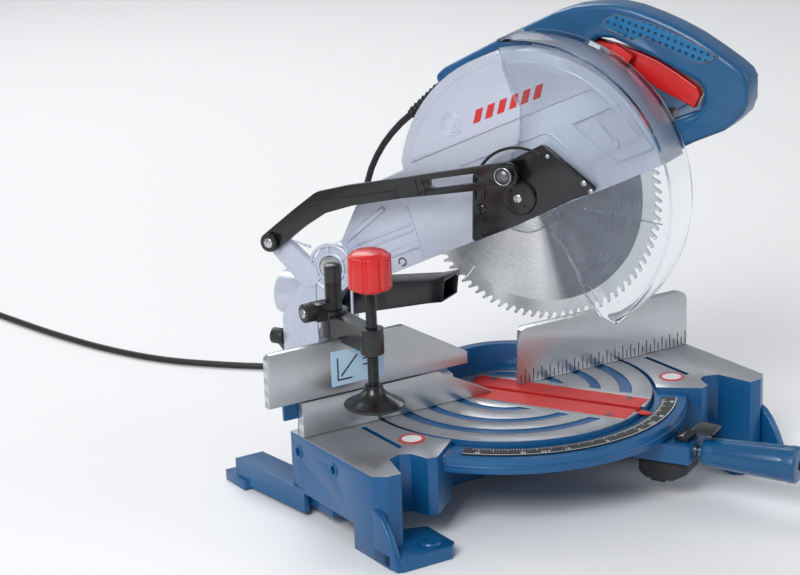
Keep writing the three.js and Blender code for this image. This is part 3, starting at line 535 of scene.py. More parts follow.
def makeCord():
    c = cordFacts
    line = throughPoints(route + [(-226.7, 856, 3.5)])
    turnsOfCoil = coilTurns()
    line += turnsOfCoil
    line.append(Vector((c["coil"][0], c["coil"][1] + c["outer"], c["layers"][2])))
    line.append(Vector((c["coil"][0] - 10, c["plugJoin"][1], c["layers"][2] - 0.2)))
    line.append(Vector(c["plugJoin"]))
    data = bpy.data.curves.new("mainsCord", "CURVE")
    data.dimensions = "3D"
    data.bevel_depth = c["diameter"] / 2 * mm
    data.bevel_resolution = 4
    data.use_fill_caps = True
    spline = data.splines.new("POLY")
    spline.points.add(len(line) - 1)
    for point, at in zip(spline.points, line):
        point.co = (*(at * mm), 1)
    cordPiece = bpy.data.objects.new("mainsCord", data)
    bpy.context.scene.collection.objects.link(cordPiece)
    data.materials.append(finishes["rubber"])
    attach(cordPiece, "turntable")
    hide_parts("cord", "cord_coil")
    length = sum((b - a).length for a, b in zip(line, line[1:])) * mm
    return cordPiece, length


cordPiece, cordLength = makeCord()
print("cord laid", round(cordLength, 3), "m")


# Castings, mouldings and turned parts: each node's own solid, merged and given its rounded edges
record = frame["record"]
bodyOf = {node: body for body, nodes in record["behaviour"]["bodies"].items() for node in nodes}

# node: (piece name, edge radius in mm, finish)
softened = {
    "base_casting": ("baseCasting", 1.6, "base"), "mitre_scale": ("dialStrip", 0.25, "blackPlastic"),
    "table_pivot_bolt": ("tableBolt", 0.6, "steel"), "fence_casting": ("fences", 0.9, "fence"),
    "sliding_fence": ("tallFence", 0.9, "fence"),
    "clamp_thumbscrew": ("clampThumbscrew", 0.8, "blackPlastic"),
    "turntable": ("tableCasting", 1.0, "table"), "insert_left": ("insertLeft", 0.35, "redPlastic"),
    "insert_right": ("insertRight", 0.35, "redPlastic"), "mitre_pointer": ("tablePointer", 0.2, "redPlastic"),
    "detent_lever": ("detentPlate", 1.2, "blackGloss"), "tilt_bracket": ("tiltCasting", 2.2, "silver"),
    "bevel_bolt": ("bevelPivot", 0.8, "steel"), "bevel_lever": ("bevelHandle", 1.6, "blackPlastic"),
    "link_rear_bolt": ("linkRearBolt", 1.6, "steel"), "chop_pin": ("chopPin", 1.0, "steel"),
    "hold_down_pin": ("holdDownKnob", 1.2, "redGloss"), "head_casting": ("headCasting", 2.4, "silver"),
    "cover_plate": ("hubCover", 1.4, "blackGloss"), "motor_housing": ("motorShell", 2.0, "bluePlastic"),
    "motor_end_cap": ("motorTailCap", 2.0, "blackPlastic"), "brush_cap": ("brushScrewCap", 1.0, "blackPlastic"),
    "spindle_lock": ("spindleLockButton", 0.8, "blackPlastic"), "outer_flange": ("bladeFlange", 0.8, "steel"),
    "arbor_bolt": ("arborBolt", 0.7, "steel"), "link_front_pin": ("linkFrontBolt", 1.8, "blackGloss"),
    "guard_link": ("guardLinkBar", 1.3, "blackGloss"), "dust_chute": ("chipChute", 1.6, "blackGloss"),
    "dust_outlet": ("chipTube", 0.8, "silver"), "strain_relief": ("cordBoot", 0.8, "rubber"),
    "cord_clip": ("cordClamp", 1.2, "blackPlastic"), "cord_gland": ("cordBlock", 1.2, "blackPlastic"),
    "fence_lock_knob": ("fenceLockKnob", 1.0, "blackPlastic"), "plug": ("mainsPlug", 2.0, "blackPlastic"),
    "lock_off": ("lockOffButton", 0.8, "redGloss"), "clamp_post": ("clampPost", 1.0, "blackGloss"),
    "clamp_spindle": ("clampSpindle", 0.8, "blackGloss"), "mitre_spindle": ("mitreRod", 0.6, "steel"),
}
# nodes whose solid is right as it stands, inside the housings or round and smooth already
plainNodes = {
    "chop_spring": "steel", "stator": "darkSteel", "armature": "copper", "armature_bearing": "steel",
    "drive_belt": "rubber", "arbor_bearing": "steel", "arbor_spindle": "steel", "lead_upper": "rubber",
    "lead_lower": "rubber",
}


def mergedCopy(node):
    mesh = frame["nodes"][node].data.copy()
    piece = bpy.data.objects.new(node + "Copy", mesh)
    bpy.context.scene.collection.objects.link(piece)
    only(piece)
    bpy.ops.object.mode_set(mode="EDIT")
    bpy.ops.mesh.select_all(action="SELECT")
    bpy.ops.mesh.remove_doubles(threshold=2e-6)
    if node != "turntable":
        bpy.ops.mesh.dissolve_limited(angle_limit=math.radians(0.6))
    bpy.ops.object.mode_set(mode="OBJECT")
    if piece.data.has_custom_normals:
        bpy.ops.mesh.customdata_custom_splitnormals_clear()
    return piece


def soften(node, name, width, look):
    piece = rounded(mergedCopy(node), width, 2 if width > 0.5 else 1)
    return finish(piece, name, bodyOf[node], look, noTurn, replaces=[node])


for node, (name, width, look) in softened.items():
    soften(node, name, width, look)
for node, look in plainNodes.items():
    cadPiece = frame["nodes"][node]
    cadPiece.data.materials.clear()
    cadPiece.data.materials.append(finishes[look])
print("castings softened")


# Blade
blade = {"radius": 127, "teeth": 90, "gullet": 7.2, "half": 0.95, "hole": 15.2, "slots": 5}


def makeBlade():
    y0, z0 = arborPlace
    points = []
    pitch = 360 / blade["teeth"]
    for i in range(blade["teeth"]):
        for part, depth in ((0, 0), (0.1, 0.85), (0.28, 1), (0.52, 0.8), (0.9, 0.08)):
            angle = math.radians((i + part) * pitch)
            radius = blade["radius"] - depth * blade["gullet"]
            points.append((y0 + radius * math.cos(angle), z0 + radius * math.sin(angle)))
    piece = slab("x", points, -blade["half"], blade["half"])
    tools = [rod("x", blade["hole"], -5, 5, arborPlace, 48)]
    for i in range(blade["slots"]):
        slot = joined(block(-3, 3, 104.5, 122, -0.45, 0.45))
        slot.data.transform(Matrix.Rotation(math.radians(72 * i + 20), 4, "X"))
        slot.data.transform(Matrix.Translation(spot("x", y0, z0, 0)))
        tools.append(slot)
    carve(piece, *tools)
    finish(piece, "sawBlade", "blade_spindle", "blade", smooth=20, replaces=["blade"])
    tip = block(-1.35, 1.35, -0.9, 0.9, -2.2, 0.2)
    tips = []
    for i in range(blade["teeth"]):
        turn = Matrix.Rotation(math.radians(i * pitch - 90), 4, "X")
        made = copyOf(tip)
        made.data.transform(Matrix.Translation(Vector((0, -0.6, blade["radius"] - 0.3)) * mm))
        made.data.transform(turn)
        made.data.transform(Matrix.Translation(spot("x", y0, z0, 0)))
        tips.append(made)
    bpy.data.objects.remove(tip)
    finish(joined(*tips), "carbideTips", "blade_spindle", "steel")


makeBlade()

# Clear guard
soften("lower_guard", "clearGuard", 0.9, "clear")

# Handle: one moulding with a pocket for the trigger
handle = {"left": 28.3, "right": 62.3, "edge": 7,
          "outline": [(87, 298), (77, 307), (8, 344), (-39, 367), (-60, 374), (-80, 377), (-100, 378), (-119, 375),
                      (-139, 369), (-158, 362), (-178, 353), (-197, 342), (-216, 330), (-225, 323), (-229, 316),
                      (-229, 295), (-225, 284), (-215, 274), (-206, 267), (-179, 255), (-154, 242), (-140, 234),
                      (-126, 236), (-122, 240), (-128, 252), (-149, 270), (-176, 281), (-183, 286), (-187, 293),
                      (-187, 303), (-182, 311), (-138, 331), (-98, 346), (-84, 346), (-70, 336), (-54, 318),
                      (-45, 300), (-40, 262), (0, 262), (60, 250)],
          "pocket": [(-62, 330), (-70, 347), (-84, 352), (-128, 346), (-192, 322), (-199, 300), (-184, 278),
                     (-150, 266)],
          "trigger": [(-67, 336), (-73, 341), (-80, 342), (-119, 334), (-139, 327), (-159, 316), (-178, 304),
                      (-181, 297), (-175, 284), (-167, 288), (-139, 300), (-119, 313), (-107, 323), (-97, 315),
                      (-84, 323), (-92, 333), (-78, 337)]}


def beltShape(grow):
    ax, ay, bx, by = -32, 205, -86, 266
    ra, rb = 48 + grow, 28 + grow
    gone = math.hypot(bx - ax, by - ay)
    heading = math.degrees(math.atan2(by - ay, bx - ax))
    lean = math.degrees(math.acos((ra - rb) / gone))
    return arc(ax, ay, ra, heading + lean, heading + 360 - lean, 30) + arc(bx, by, rb, heading - lean, heading + lean, 20)


def makeHandle():
    h = handle
    piece = rounded(slab("x", h["outline"], h["left"], h["right"]), h["edge"], 5, 40)
    middle = (h["left"] + h["right"]) / 2
    carve(piece, rod("x", 50.4, 44.7, 90, (-86, 266), 64), slab("x", beltShape(0.7), 20, 49.5),
          slab("x", h["pocket"], middle - 7, middle + 7),
          slab("x", [(-99, 344), (-121, 333), (-113, 319), (-91, 330)], 0, middle - 6),
          rod("x", 9, 43, 90, (-32, 230), 24))
    finish(piece, "handleMoulding", "head", "bluePlastic", smooth=40,
           replaces=["handle_left", "handle_right"])


makeHandle()
middle = (handle["left"] + handle["right"]) / 2
finish(rounded(slab("x", handle["trigger"], middle - 6.3, middle + 6.3), 1.8, 3, 25), "triggerLever", "trigger",
       "redGloss", smooth=50, replaces=["trigger"])

# Knobs
knob = {"radius": 20, "flute": 2.3, "count": 8, "low": 225, "high": 256, "place": (-173, -35)}


def makeClampKnob():
    k = knob
    x0, y0 = k["place"]
    points = []
    for i in range(96):
        wave = max(0, math.cos(math.radians(i * 360 / 96 * k["count"]))) ** 3
        radius = k["radius"] - k["flute"] * wave
        angle = math.radians(i * 360 / 96)
        points.append((x0 + radius * math.cos(angle), y0 + radius * math.sin(angle)))
    body = rounded(slab("z", points, k["low"], k["high"]), 1.4, 3, 40)
    crown = lathe("z", [(0, 254), (18.4, 254), (18.2, 256.5), (15.5, 258.8), (12.5, 259.8), (0, 260)], (x0, y0), 48)
    neck = lathe("z", [(5.4, 222), (12, 222), (12.4, 226), (5.4, 226)], (x0, y0), 32)
    finish(joined(body, crown, neck), "clampKnob", "clamp_screw", "redGloss", noTurn,
           replaces=["clamp_knob"])


def makeMitreGrip():
    near, far = -202, -292
    profile = [(5.4, near), (12, near), (13.2, near - 2), (13.6, near - 6), (17, far + 8), (17.6, far + 5),
               (17.4, far), (15.5, far - 2), (10, far - 3), (0, far - 3)]
    grip = lathe("y", profile, (0, -33), 48)
    ribs = []
    for angle in range(0, 360, 60):
        rib = slab("z", [(-2.6, near - 12), (2.6, near - 12), (3.4, far + 14), (0, far + 9), (-3.4, far + 14)], 12, 18.2)
        for vertex in rib.data.vertices:
            along = (near - vertex.co.y / mm) / (near - far)
            vertex.co.z = (14.2 + 3.6 * along) * mm if vertex.co.z > 0.015 else vertex.co.z
        rounded(rib, 0.8, 2)
        rib.data.transform(Matrix.Rotation(math.radians(angle), 4, "Y"))
        rib.data.transform(Matrix.Translation((0, 0, -0.033)))
        ribs.append(rib)
    finish(joined(grip, *ribs), "mitreGrip", "mitre_handle", "bluePlastic", replaces=["mitre_knob"])


def makeClampArm():
    # a bar from the post to the spindle, with a lug for the thumbscrew
    x0, post, spindle = -173, 32, -35
    low, high = 163, 187
    pieces = [rod("z", 13, low, high + 2, (x0, post), 40), rod("z", 11, low, high, (x0, spindle), 40)]
    bar = slab("z", [(x0 - 8, spindle), (x0 + 8, spindle), (x0 + 10, post), (x0 - 10, post)], low + 1, high - 1)
    lug = block(x0 - 22, x0, post - 7, post + 7, 181, 197.5)
    body = apply(pieces[0], "BOOLEAN", object=pieces[1], operation="UNION")
    for extra in (bar, lug):
        body = apply(body, "BOOLEAN", object=extra, operation="UNION")
    for extra in (pieces[1], bar, lug):
        bpy.data.objects.remove(extra)
    carve(body, rod("z", 8.3, 100, 300, (x0, post), 32), rod("z", 5.6, 100, 300, (x0, spindle), 32),
          rod("x", 3.3, -203, -173, (post, 190), 20))
    finish(rounded(body, 1.3, 3, 30), "clampArm", "clamp_arm", "blackGloss", noTurn,
           replaces=["clamp_arm"])


def makeClampPad():
    profile = [(0, 112), (27, 112), (28, 112.8), (28, 115), (26.4, 116.2), (20, 119.4), (13, 123.6), (9.2, 128),
               (8, 133), (5.4, 133.6), (5.4, 126), (0, 126)]
    finish(lathe("z", profile, (-173, -35), 56), "clampPad", "clamp_foot", "blackGloss",
           noTurn, replaces=["clamp_foot"])


makeClampKnob()
makeMitreGrip()
makeClampArm()
makeClampPad()

# Arbor cap: a black disc with four small sockets and a bolt
def makeArborCap():
    place = arborPlace
    disc = lathe("x", [(0, -38), (14, -38), (15.6, -37.6), (16.6, -36.4), (17, -34.3), (0, -34.3)], place, 48)
    sockets = []
    for i in range(4):
        angle = math.radians(45 + 90 * i)
        at = (place[0] + 9.5 * math.cos(angle), place[1] + 9.5 * math.sin(angle))
        sockets.append(rod("x", 1.5, -40, -36.8, at, 16))
    carve(disc, *sockets)
    finish(disc, "arborCapDisc", "head", "blackGloss", replaces=["arbor_cap"])
    finish(lathe("x", [(0, -41.2), (1.6, -41), (4, -39.9), (4.6, -38.6), (4.6, -37.9), (0, -37.9)], place, 24),
           "arborCapBolt", "head", "steel")


makeArborCap()
print("main pieces made")


# Raised and sunk lines that follow a run of points on a face
def strip(axis, points, width, low, high, round_=0.4, body=None):
    left, right = [], []
    for i, (u, v) in enumerate(points):
        before, after = points[max(i - 1, 0)], points[min(i + 1, len(points) - 1)]
        du, dv = after[0] - before[0], after[1] - before[1]
        size = math.hypot(du, dv)
        left.append((u - dv / size * width / 2, v + du / size * width / 2))
        right.append((u + dv / size * width / 2, v - du / size * width / 2))
    piece = slab(axis, left + right[::-1], low, high)
    return rounded(piece, round_, 2) if round_ else piece


def crossScrew(axis, radius, face, out, place, look="steel"):
    # a domed head with a cross slot; out is the way the head stands, +1 or -1
    top = radius * 0.45
    profile = [(0, top), (radius * 0.5, top * 0.92), (radius * 0.85, top * 0.55), (radius, top * 0.12), (radius, -0.6),
               (0, -0.6)]
    head = lathe(axis, [(r, out * a) for r, a in profile], place, 20)
    head.data.transform(Matrix.Translation(spot(axis, 0, 0, face)))
    slotHalf, slotLong = radius * 0.13, radius * 0.62
    for u, v in ((slotLong, slotHalf), (slotHalf, slotLong)):
        low, high = sorted((face + out * top * 0.35, face + out * (top + 1)))
        corners = [(place[0] - u, place[1] - v), (place[0] + u, place[1] - v), (place[0] + u, place[1] + v),
                   (place[0] - u, place[1] + v)]
        carve(head, slab(axis, corners, low, high))
    return head


# Face of the blade guard and the arm
face = {"wall": -22, "panel": -23.4, "guard": (-37, 204), "panelRadius": 127,
        "ridge": [(91, 221), (-25, 274), (-101, 309)],
        "aroundCover": [(36, 226), (-19, 250), (-52, 265), (-59, 264), (-118, 222)],
        "frontPanel": [(-81, 276), (-129, 299), (-160, 259), (-124, 244)],
        "emblem": (43, 266), "arrow": [(-107, 280), (-127, 257)]}


def makeGuardFace():
    f = face
    gy, gz = f["guard"]
    upper = arc(gy, gz, f["panelRadius"], 11, 148, 48) + [(-101, 310), (-25, 276), (86, 225)]
    lower = [(84, 222), (-25, 272), (-100, 306), (-132, 283), (-124, 247), (-60, 264 + 3), (-52, 268), (-19, 253),
             (34, 230), (60, 218)]
    panels = [rounded(slab("x", upper, f["panel"], f["wall"] + 0.5), 1.2, 3, 50)]
    lines = [strip("x", f["aroundCover"], 1.8, f["wall"] - 1, f["wall"] + 0.5),
             strip("x", f["frontPanel"], 1.6, f["panel"] - 0.8, f["wall"] + 0.5),
             strip("x", [f["frontPanel"][-1], f["frontPanel"][0]], 1.6, f["panel"] - 0.8, f["wall"] + 0.5)]
    rings = [ringBar("x", 11, 0.45, f["panel"], f["emblem"]), ringBar("x", 8.2, 0.45, f["panel"], f["emblem"]),
             rod("x", 4, f["panel"] - 0.5, f["panel"] + 0.2, f["emblem"], 32)]
    (ay, az), (by, bz) = f["arrow"]
    arrow = [strip("x", [(ay, az), (by + 4, bz + 5)], 1.1, f["panel"] - 0.5, f["panel"] + 0.3, 0.2),
             slab("x", [(by, bz), (by + 2, bz + 9), (by + 8, bz + 5)], f["panel"] - 0.5, f["panel"] + 0.3)]
    finish(joined(*panels, *lines, *rings, *arrow), "guardFacePanels", "head", "silver")


def makeRedBars():
    bars = []
    for i in range(6):
        y0 = 20 - i * 12.4
        z0 = 268 + (20 - y0) * 0.44
        bars.append(slab("x", [(y0, z0), (y0 - 7.4, z0 + 3.3), (y0 - 10.8, z0 + 17), (y0 - 3.4, z0 + 13.7)],
                         face["panel"] - 0.35, face["panel"] + 0.2))
    finish(joined(*bars), "redStripes", "head", "redGloss")


def makeArmRibs():
    wall = face["wall"]
    ribs = [strip("x", [(163, 139), (119, 177)], 5.5, wall - 1.8, wall + 0.5, 0.9),
            strip("x", [(157, 134), (120, 151), (90, 164)], 2.4, wall - 1.1, wall + 0.5),
            strip("x", [(147, 130), (118, 145), (88, 158)], 2.4, wall - 1.1, wall + 0.5),
            strip("x", [(113, 131), (97, 138), (81, 145)], 6.5, wall - 1.8, wall + 0.5, 0.9),
            strip("x", [(94, 181), (86, 159), (77, 132)], 2.6, wall - 0.9, wall + 0.5)]
    finish(joined(*ribs), "armRibs", "head", "silver")
    bolt = lathe("x", [(0, 0.8), (2.2, 0.8), (2.6, 0.3), (4.2, -0.9), (4.6, 0.1), (4.6, 0.9), (0, 0.9)], (100, 125), 24)
    bolt.data.transform(Matrix.Translation((wall * mm, 0, 0)))
    finish(bolt, "armBoltSeat", "head", "darkSteel")


makeGuardFace()
makeRedBars()
makeArmRibs()

# Hub: screws and turned rings on the black cover
hub = {"face": -34, "ring": 47, "screws": [(8, 190, 5.2), (-96, 224, 3), (-103, 217, 2.6), (-60, 246, 2.2)]}


def makeHubDetail():
    h = hub
    for i, (y, z, radius) in enumerate(h["screws"]):
        screw = crossScrew("x", radius, h["face"], -1, (y, z))
        finish(screw, "coverScrew%d" % (i + 1), "head",
               "blackGloss" if radius > 4 else "steel")
    y0, z0 = arborPlace
    ring = slab("x", arc(y0, z0, h["ring"] + 1.4, -8, 118, 40) + arc(y0, z0, h["ring"] - 1.4, 118, -8, 40),
                h["face"] - 1.6, h["face"] + 0.3)
    inner = slab("x", arc(y0, z0, 38.5, -12, 20, 20) + arc(y0, z0, 36.5, 20, -12, 20), h["face"] - 1.2, h["face"] + 0.3)
    finish(joined(rounded(ring, 0.6), rounded(inner, 0.5)), "coverRings", "head", "blackGloss")


makeHubDetail()

# Link: a pressed line along it, two raised bands, and caps on both bolts
link = {"out": -50, "line": [(219, 151), (208, 163), (198, 173), (188, 180), (172, 186), (130, 195), (89, 204)],
        "bands": [[(69, 216), (66, 201)], [(62, 217.5), (59, 202.5)]]}


def makeLinkDetail():
    pieces = [strip("x", link["line"], 1.6, link["out"] - 0.7, link["out"] + 0.3, 0.35)]
    for band in link["bands"]:
        pieces.append(strip("x", band, 1.8, link["out"] - 0.8, link["out"] + 0.3, 0.35))
    finish(joined(*pieces), "linkPressedLines", "guard_link", "blackGloss")
    rear = (231, 139)
    cap = lathe("x", [(0, -56.6), (3.2, -56.2), (4.8, -55.4), (5, -54.8), (0, -54.8)], rear, 24)
    finish(cap, "linkRearCap", "tilt", "steel")
    collar = lathe("x", [(5.2, -55.6), (8.4, -55.3), (9.4, -54), (9.4, -52), (5.2, -52)], rear, 32)
    finish(collar, "linkRearCollar", "tilt", "blackGloss")
    front = onHub(25, 72)
    dome = lathe("x", [(0, -57.4), (3, -57.1), (5.4, -56.2), (6.4, -54.9), (0, -54.9)], front, 28)
    finish(dome, "linkFrontDome", "lower_guard", "darkSteel")
    finish(joined(ringBar("x", 8, 0.55, -55, front, 36, 8)), "linkFrontRing", "lower_guard", "steel")


def onHub(radius, degrees):
    angle = math.radians(degrees)
    return arborPlace[0] + radius * math.cos(angle), arborPlace[1] + radius * math.sin(angle)


makeLinkDetail()

# Clear guard: thick edges and hub rings
guardEdges = {"face": -26.5, "rear": [(-13, 327), (-23, 301), (-30, 289), (-29, 259), (-22, 242)],
              "front": [(-60, 172), (-72, 161), (-86, 138), (-95, 114), (-110, 96)]}


def makeGuardRibs():
    g = guardEdges
    low, high = g["face"] - 1.6, g["face"] + 0.2
    pieces = [strip("x", g["rear"], 2.2, low, high, 0.5), strip("x", g["front"], 2.2, low, high, 0.5)]
    y0, z0 = arborPlace
    for radius in (35, 22.5):
        pieces.append(ringBar("x", radius, 0.9, g["face"] - 0.3, arborPlace, 64, 8))
    for low_, high_ in ((150, 151.2), (186, 187.2)):
        spoke = [onHub(37, low_), onHub(139, low_)]
        pieces.append(strip("x", spoke, 1.2, low + 0.5, high, 0.3))
    finish(joined(*pieces), "guardEdgesAndRings", "lower_guard", "clear")


makeGuardRibs()


# Fences: a rule along the foot of the right one, and a plain plate on the tall one
def makeRule():
    ticks = []
    for i in range(42):
        x = 19 + i * 5
        height = 13 if i % 2 else 8
        ticks.append(block(x - 0.45, x + 0.45, 4.86, 5.1, 81.5, 81.5 + height))
    finish(joined(*ticks), "fenceRule", "base", "blackPlastic", noTurn)


def makeFencePlate():
    plate = rounded(block(-194, -137, 4.5, 5.1, 123, 157), 0.2, 1)
    finish(plate, "fencePlate", "sliding_fence", "paleBlue", noTurn)
    marks = [block(-188, -172, 4.35, 4.6, 128, 129.4), block(-188, -186.6, 4.35, 4.6, 128, 150),
             strip("y", [(-184, 132), (-166, 150)], 1.6, 4.35, 4.6, 0), block(-160, -143, 4.35, 4.6, 150, 151.4),
             block(-160, -143, 4.35, 4.6, 144, 145.4), block(-160, -143, 4.35, 4.6, 138, 139.4)]
    finish(joined(*marks), "fencePlateMarks", "sliding_fence", "blackPlastic", noTurn)


makeRule()
makeFencePlate()

# Dial: ticks at each degree and plain angle numbers
dial = {"top": 75.8, "inner": 149.3, "short": 2.6, "long": 5.2, "numberRadius": 159.2, "size": 5.4,
        "numbers": (45, 30, 22.5, 15, 0, 15, 22.5, 30, 45), "places": (-45, -30, -22.5, -15, 0, 15, 22.5, 30, 45)}


def makeDialMarks():
    d = dial
    marks = []
    for degree in range(-47, 48):
        long = degree % 5 == 0
        mark = block(-0.22, 0.22, -d["inner"] - (d["long"] if long else d["short"]), -d["inner"], d["top"], d["top"] + 0.12)
        mark.data.transform(Matrix.Rotation(math.radians(degree), 4, "Z"))
        marks.append(mark)
    for number, place in zip(d["numbers"], d["places"]):
        clear()
        bpy.ops.object.text_add()
        text = bpy.context.object
        text.data.body = "%g" % number
        text.data.align_x, text.data.align_y = "CENTER", "CENTER"
        text.data.size, text.data.extrude = d["size"] * mm, 0.06 * mm
        bpy.ops.object.convert(target="MESH")
        text.data.transform(Matrix.Rotation(math.radians(place), 4, "Z")
                            @ Matrix.Translation((0, -d["numberRadius"] * mm, (d["top"] + 0.06) * mm)))
        marks.append(text)
    rim = lathe("z", [(162.2, d["top"]), (162.8, d["top"]), (162.8, d["top"] + 0.1), (162.2, d["top"] + 0.1)], (0, 0), 128)
    only(rim)
    bpy.ops.object.mode_set(mode="EDIT")
    bpy.ops.mesh.select_all(action="SELECT")
    bpy.ops.mesh.bisect(plane_co=(0, -0.105, 0), plane_no=(0, 1, 0), clear_outer=True, use_fill=True)
    bpy.ops.object.mode_set(mode="OBJECT")
    finish(joined(rim, *marks), "dialMarks", "base", "white", noTurn)


makeDialMarks()


# Screws in the inserts, plain discs on the wings
def makeTopDetails():
    screws = []
    for x, y in ((-25, -116), (25, -116), (-24, 27), (24, 27)):
        seat = lathe("z", [(0, -0.5), (2.5, -0.45), (3.6, 0.05), (3.7, 0.25), (3.3, 0.3), (0, 0.3)], (x, y), 24)
        carve(seat, slab("z", [(x - 2.4, y - 0.45), (x + 2.4, y - 0.45), (x + 2.4, y + 0.45), (x - 2.4, y + 0.45)], -0.1, 1),
              slab("z", [(x - 0.45, y - 2.4), (x + 0.45, y - 2.4), (x + 0.45, y + 2.4), (x - 0.45, y + 2.4)], -0.1, 1))
        screws.append(seat)
    finish(joined(*screws), "insertScrews", "turntable", "darkSteel")
    for side, (x, y) in (("Left", (-147, -56)), ("Right", (150, -65))):
        disc = lathe("z", [(0, 80.05), (0, 80.3), (9.6, 80.3), (9.6, 80.05)], (x, y), 40)
        finish(disc, "wingDisc" + side, "base", "white", noTurn)
        ring = lathe("z", [(9.4, 80.05), (9.4, 80.5), (12.4, 80.5), (12.4, 80.05)], (x, y), 48)
        finish(ring, "wingRing" + side, "base", "redGloss", noTurn)


makeTopDetails()

# Base: foot gussets, bolt seats, and the line round the dial rim
base = {"half": 226, "gussetTop": 58, "seat": (178, -132)}


def gusset(side):
    points = [(-124, 0.4), (-151, 0.4), (-150, 7), (-146, 17), (-139, 29), (-130, 40), (-121, 47), (-112, 50), (-112, 0.4)]
    outer = slab("x", points, -226, -219) if side < 0 else slab("x", points, 219, 226)
    return rounded(outer, 1.6, 3, 30)


def makeBaseDetails():
    parts = []
    for side in (-1, 1):
        parts.append(gusset(side))
        seat = lathe("z", [(5.3, 11.6), (5.3, 13.4), (9.6, 13.4), (10.6, 12.4), (10.8, 11.6)],
                     (side * base["seat"][0], base["seat"][1]), 32)
        parts.append(seat)
        for y, z in ((17, 63), (-47, 65)):
            rim = lathe("x", [(4.1, 0), (6.4, 0), (6.2, 0.7), (4.6, 0.9), (4.1, 0.5)], (y, z), 28)
            rim.data.transform(Matrix.Translation((side * 226 * mm, 0, 0)) @ Matrix.Scale(side, 4, (1, 0, 0)))
            only(rim)
            bpy.ops.object.mode_set(mode="EDIT")
            bpy.ops.mesh.select_all(action="SELECT")
            bpy.ops.mesh.normals_make_consistent(inside=False)
            bpy.ops.object.mode_set(mode="OBJECT")
            parts.append(rim)
    lip = ringBar("z", 171.6, 1.5, 66.5, (0, 0), 128, 8)
    only(lip)
    bpy.ops.object.mode_set(mode="EDIT")
    bpy.ops.mesh.select_all(action="SELECT")
    bpy.ops.mesh.bisect(plane_co=(0, -0.09, 0), plane_no=(0, 1, 0), clear_outer=True, use_fill=True)
    bpy.ops.object.mode_set(mode="OBJECT")
    finish(joined(lip, *parts), "baseGussetsAndLip", "base", "paintBlue", noTurn)


makeBaseDetails()


# Clamp: a threaded spindle, a turned top on the post, a pin through the arm
def makeClampDetails():
    x0, y0 = knob["place"]
    profile = [(4.4, 127)]
    for i in range(45):
        profile += [(5.35, 127.6 + i * 2.1), (4.5, 128.6 + i * 2.1)]
    profile += [(4.4, 222), (0, 222), (0, 127)]
    finish(lathe("z", profile, (x0, y0), 20), "spindleThread", "clamp_screw", "blackGloss", noTurn)
    post = (-173, 32)
    cap = lathe("z", [(0, 232.4), (5.5, 232.4), (7.8, 231), (8.12, 229), (8.12, 216), (7.8, 214.5), (7.4, 214),
                      (7.4, 212), (0, 212)], post, 36)
    finish(cap, "postCap", "clamp_post", "blackGloss", noTurn)
    thumb = crossScrew("x", 4.5, -206, -1, (32, 190))
    finish(thumb, "thumbscrewEnd", "clamp_thumbscrew", "steel", noTurn)


makeClampDetails()


# Handle: a dotted pad with a line round it, and the screws on the right face
grip = {"pad": [(-102, 370), (-91, 363), (-89, 359), (-96, 355), (-119, 346), (-131, 350), (-178, 330), (-187, 329),
                (-201, 336), (-188, 343), (-165, 353), (-137, 363)], "face": 28.3}


def makeGripPad():
    pad = rounded(slab("x", grip["pad"], grip["face"] - 0.8, grip["face"] + 0.6), 0.6, 2)
    rim = grip["pad"] + grip["pad"][:1]
    finish(joined(*[strip("x", rim[i:i + 2], 0.8, grip["face"] - 1, grip["face"] + 0.5, 0)
                    for i in range(len(rim) - 1)]), "gripPadEdge", "head", "darkSteel")
    finish(pad, "gripPad", "head", "gripDots")
    screws = []
    for y, z in ((-20, 344), (-212, 322), (-150, 256), (40, 290)):
        screws.append(crossScrew("x", 3.4, 62.3, 1, (y, z)))
    finish(joined(*screws), "handleScrews", "head", "darkSteel")


makeGripPad()


# Motor: cooling slots in the tail, ribs along the shell, and the second brush cap
def makeMotorDetails():
    y0, z0 = -86, 266
    ribs = []
    for i in range(10):
        angle = 18 + i * 36
        rib = block(92, 158, -2, 2, 49.6, 51.4)
        rounded(rib, 0.6, 1)
        rib.data.transform(Matrix.Rotation(math.radians(angle), 4, "X"))
        rib.data.transform(Matrix.Translation(spot("x", y0, z0, 0)))
        ribs.append(rib)
    finish(joined(*ribs), "motorRibs", "head", "bluePlastic")
    slots = []
    for i in range(12):
        slot = block(170, 176, -3.2, 3.2, 49.2, 50.6)
        slot.data.transform(Matrix.Rotation(math.radians(i * 30 + 10), 4, "X"))
        slot.data.transform(Matrix.Translation(spot("x", y0, z0, 0)))
        slots.append(slot)
    for radius in (14, 22, 30):
        slots.append(ringBar("x", radius, 0.8, 191, (y0, z0), 48, 8))
    finish(joined(*slots), "tailCapSlots", "head", "blackGloss")
    finish(lathe("y", [(0, -142.6), (7, -142.6), (8.6, -141.6), (8.8, -140.4), (0, -140.4)], (77, 266), 28),
           "brushCapFace", "head", "blackGloss")


makeMotorDetails()


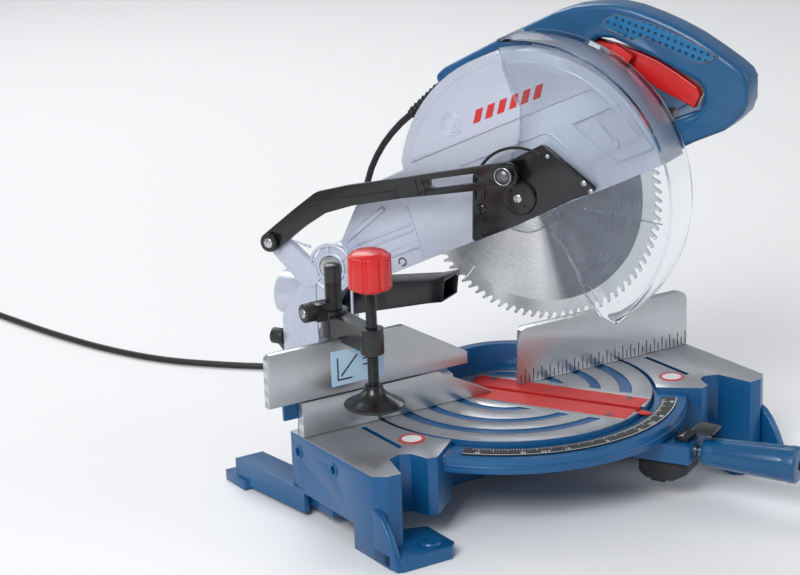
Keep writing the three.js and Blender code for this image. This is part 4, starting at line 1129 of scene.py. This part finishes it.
# Cord boot rings, and the hidden mechanism under the front arm
def makeSmallParts():
    start, end = Vector((82.2, 285.6)), Vector((116.9, 257.2))
    rings = []
    lean = math.atan2(end.y - start.y, end.x - start.x)
    for i in range(7):
        part = 0.1 + i * 0.13
        at = start.lerp(end, part)
        ring = ringBar("z", 7 - 2.4 * part + 0.2, 0.8, 0, (0, 0), 24, 6)
        ring.data.transform(Matrix.Rotation(lean - math.pi / 2, 4, "X"))
        ring.data.transform(Matrix.Translation(Vector((36.3, at.x, at.y)) * mm))
        rings.append(ring)
    finish(joined(*rings), "bootRings", "head", "rubber")
    case = rounded(slab("x", [(-142, -42), (-142, -56), (-150, -62), (-176, -62), (-190, -54), (-192, -42)], -17, 17), 3, 3)
    foot = rounded(slab("x", [(-150, -61), (-152, -67), (-166, -67), (-168, -61)], -9, 9), 1.2, 2)
    finish(joined(case, foot), "detentHousing", "turntable", "blackPlastic")


makeSmallParts()


# Bracket: a ring round the pivot, spokes in it, and ribs up the finger
bracket = {"face": -42, "hub": (168, 117), "ring": 23, "finger": [[(212, 141), (190, 136)], [(219, 133), (192, 122)],
                                                                 [(224, 128), (190, 108)]]}


def makeBracketRibs():
    b = bracket
    y0, z0 = b["hub"]
    low, high = b["face"] - 1.8, b["face"] + 0.5
    pieces = []
    for outer, inner in ((b["ring"] + 1.6, b["ring"] - 1.6), (15.4, 12.6)):
        pieces.append(lathe("x", [(inner, high), (inner, low + 0.4), (inner + 0.5, low), (outer - 0.5, low),
                                  (outer, low + 0.4), (outer, high)], b["hub"], 64))
    for degrees in (20, 80, 140, 200, 260, 320):
        angle = math.radians(degrees)
        ends = [(y0 + r * math.cos(angle), z0 + r * math.sin(angle)) for r in (14.5, 22)]
        pieces.append(strip("x", ends, 3, low + 0.2, high, 0.5))
    for line in b["finger"]:
        pieces.append(strip("x", line, 2.6, low + 0.2, high, 0.7))
    for line in ([(146, 104), (146, 74), (150, 40)], [(187, 104), (188, 74), (186, 40)], [(149, 72), (185, 72)]):
        pieces.append(strip("x", line, 2.8, low + 0.2, high, 0.7))
    finish(joined(*pieces), "bracketRibs", "tilt", "silver")


makeBracketRibs()
print("details made")


# Floor and light
studio = {"key": (-2.4, -1.5, 2.4, 1.5, 82), "fill": (2.2, -1.8, 1.6, 2.0, 16), "back": (0.4, 2.4, 2.4, 2.0, 46)}


def studioLight(name, x, y, z, size, power):
    data = bpy.data.lights.new(name, "AREA")
    data.size, data.energy = size, power
    lamp = bpy.data.objects.new(name, data)
    bpy.context.scene.collection.objects.link(lamp)
    aim = Vector((0, 0, 0.2)) - Vector((x, y, z))
    lamp.rotation_euler = aim.to_track_quat("-Z", "Y").to_euler()
    lamp.location = (x, y, z)


def studioFloor():
    s = Shader("paleFloor")
    clear()
    bpy.ops.mesh.primitive_plane_add(size=14, location=(0, 0, -0.0005))
    floor = bpy.context.object
    floor.name = "studioFloor"
    floor.data.materials.append(s.done(s.skin((0.86, 0.865, 0.875), 0.65)))
    world = bpy.data.worlds.new("paleRoom")
    world.use_nodes = True
    world.node_tree.nodes["Background"].inputs[0].default_value = (0.92, 0.94, 0.97, 1)
    world.node_tree.nodes["Background"].inputs[1].default_value = 0.4
    bpy.context.scene.world = world


studioFloor()
for name, values in studio.items():
    studioLight(name + "Light", *values)
bpy.context.scene.view_settings.view_transform = "Standard"
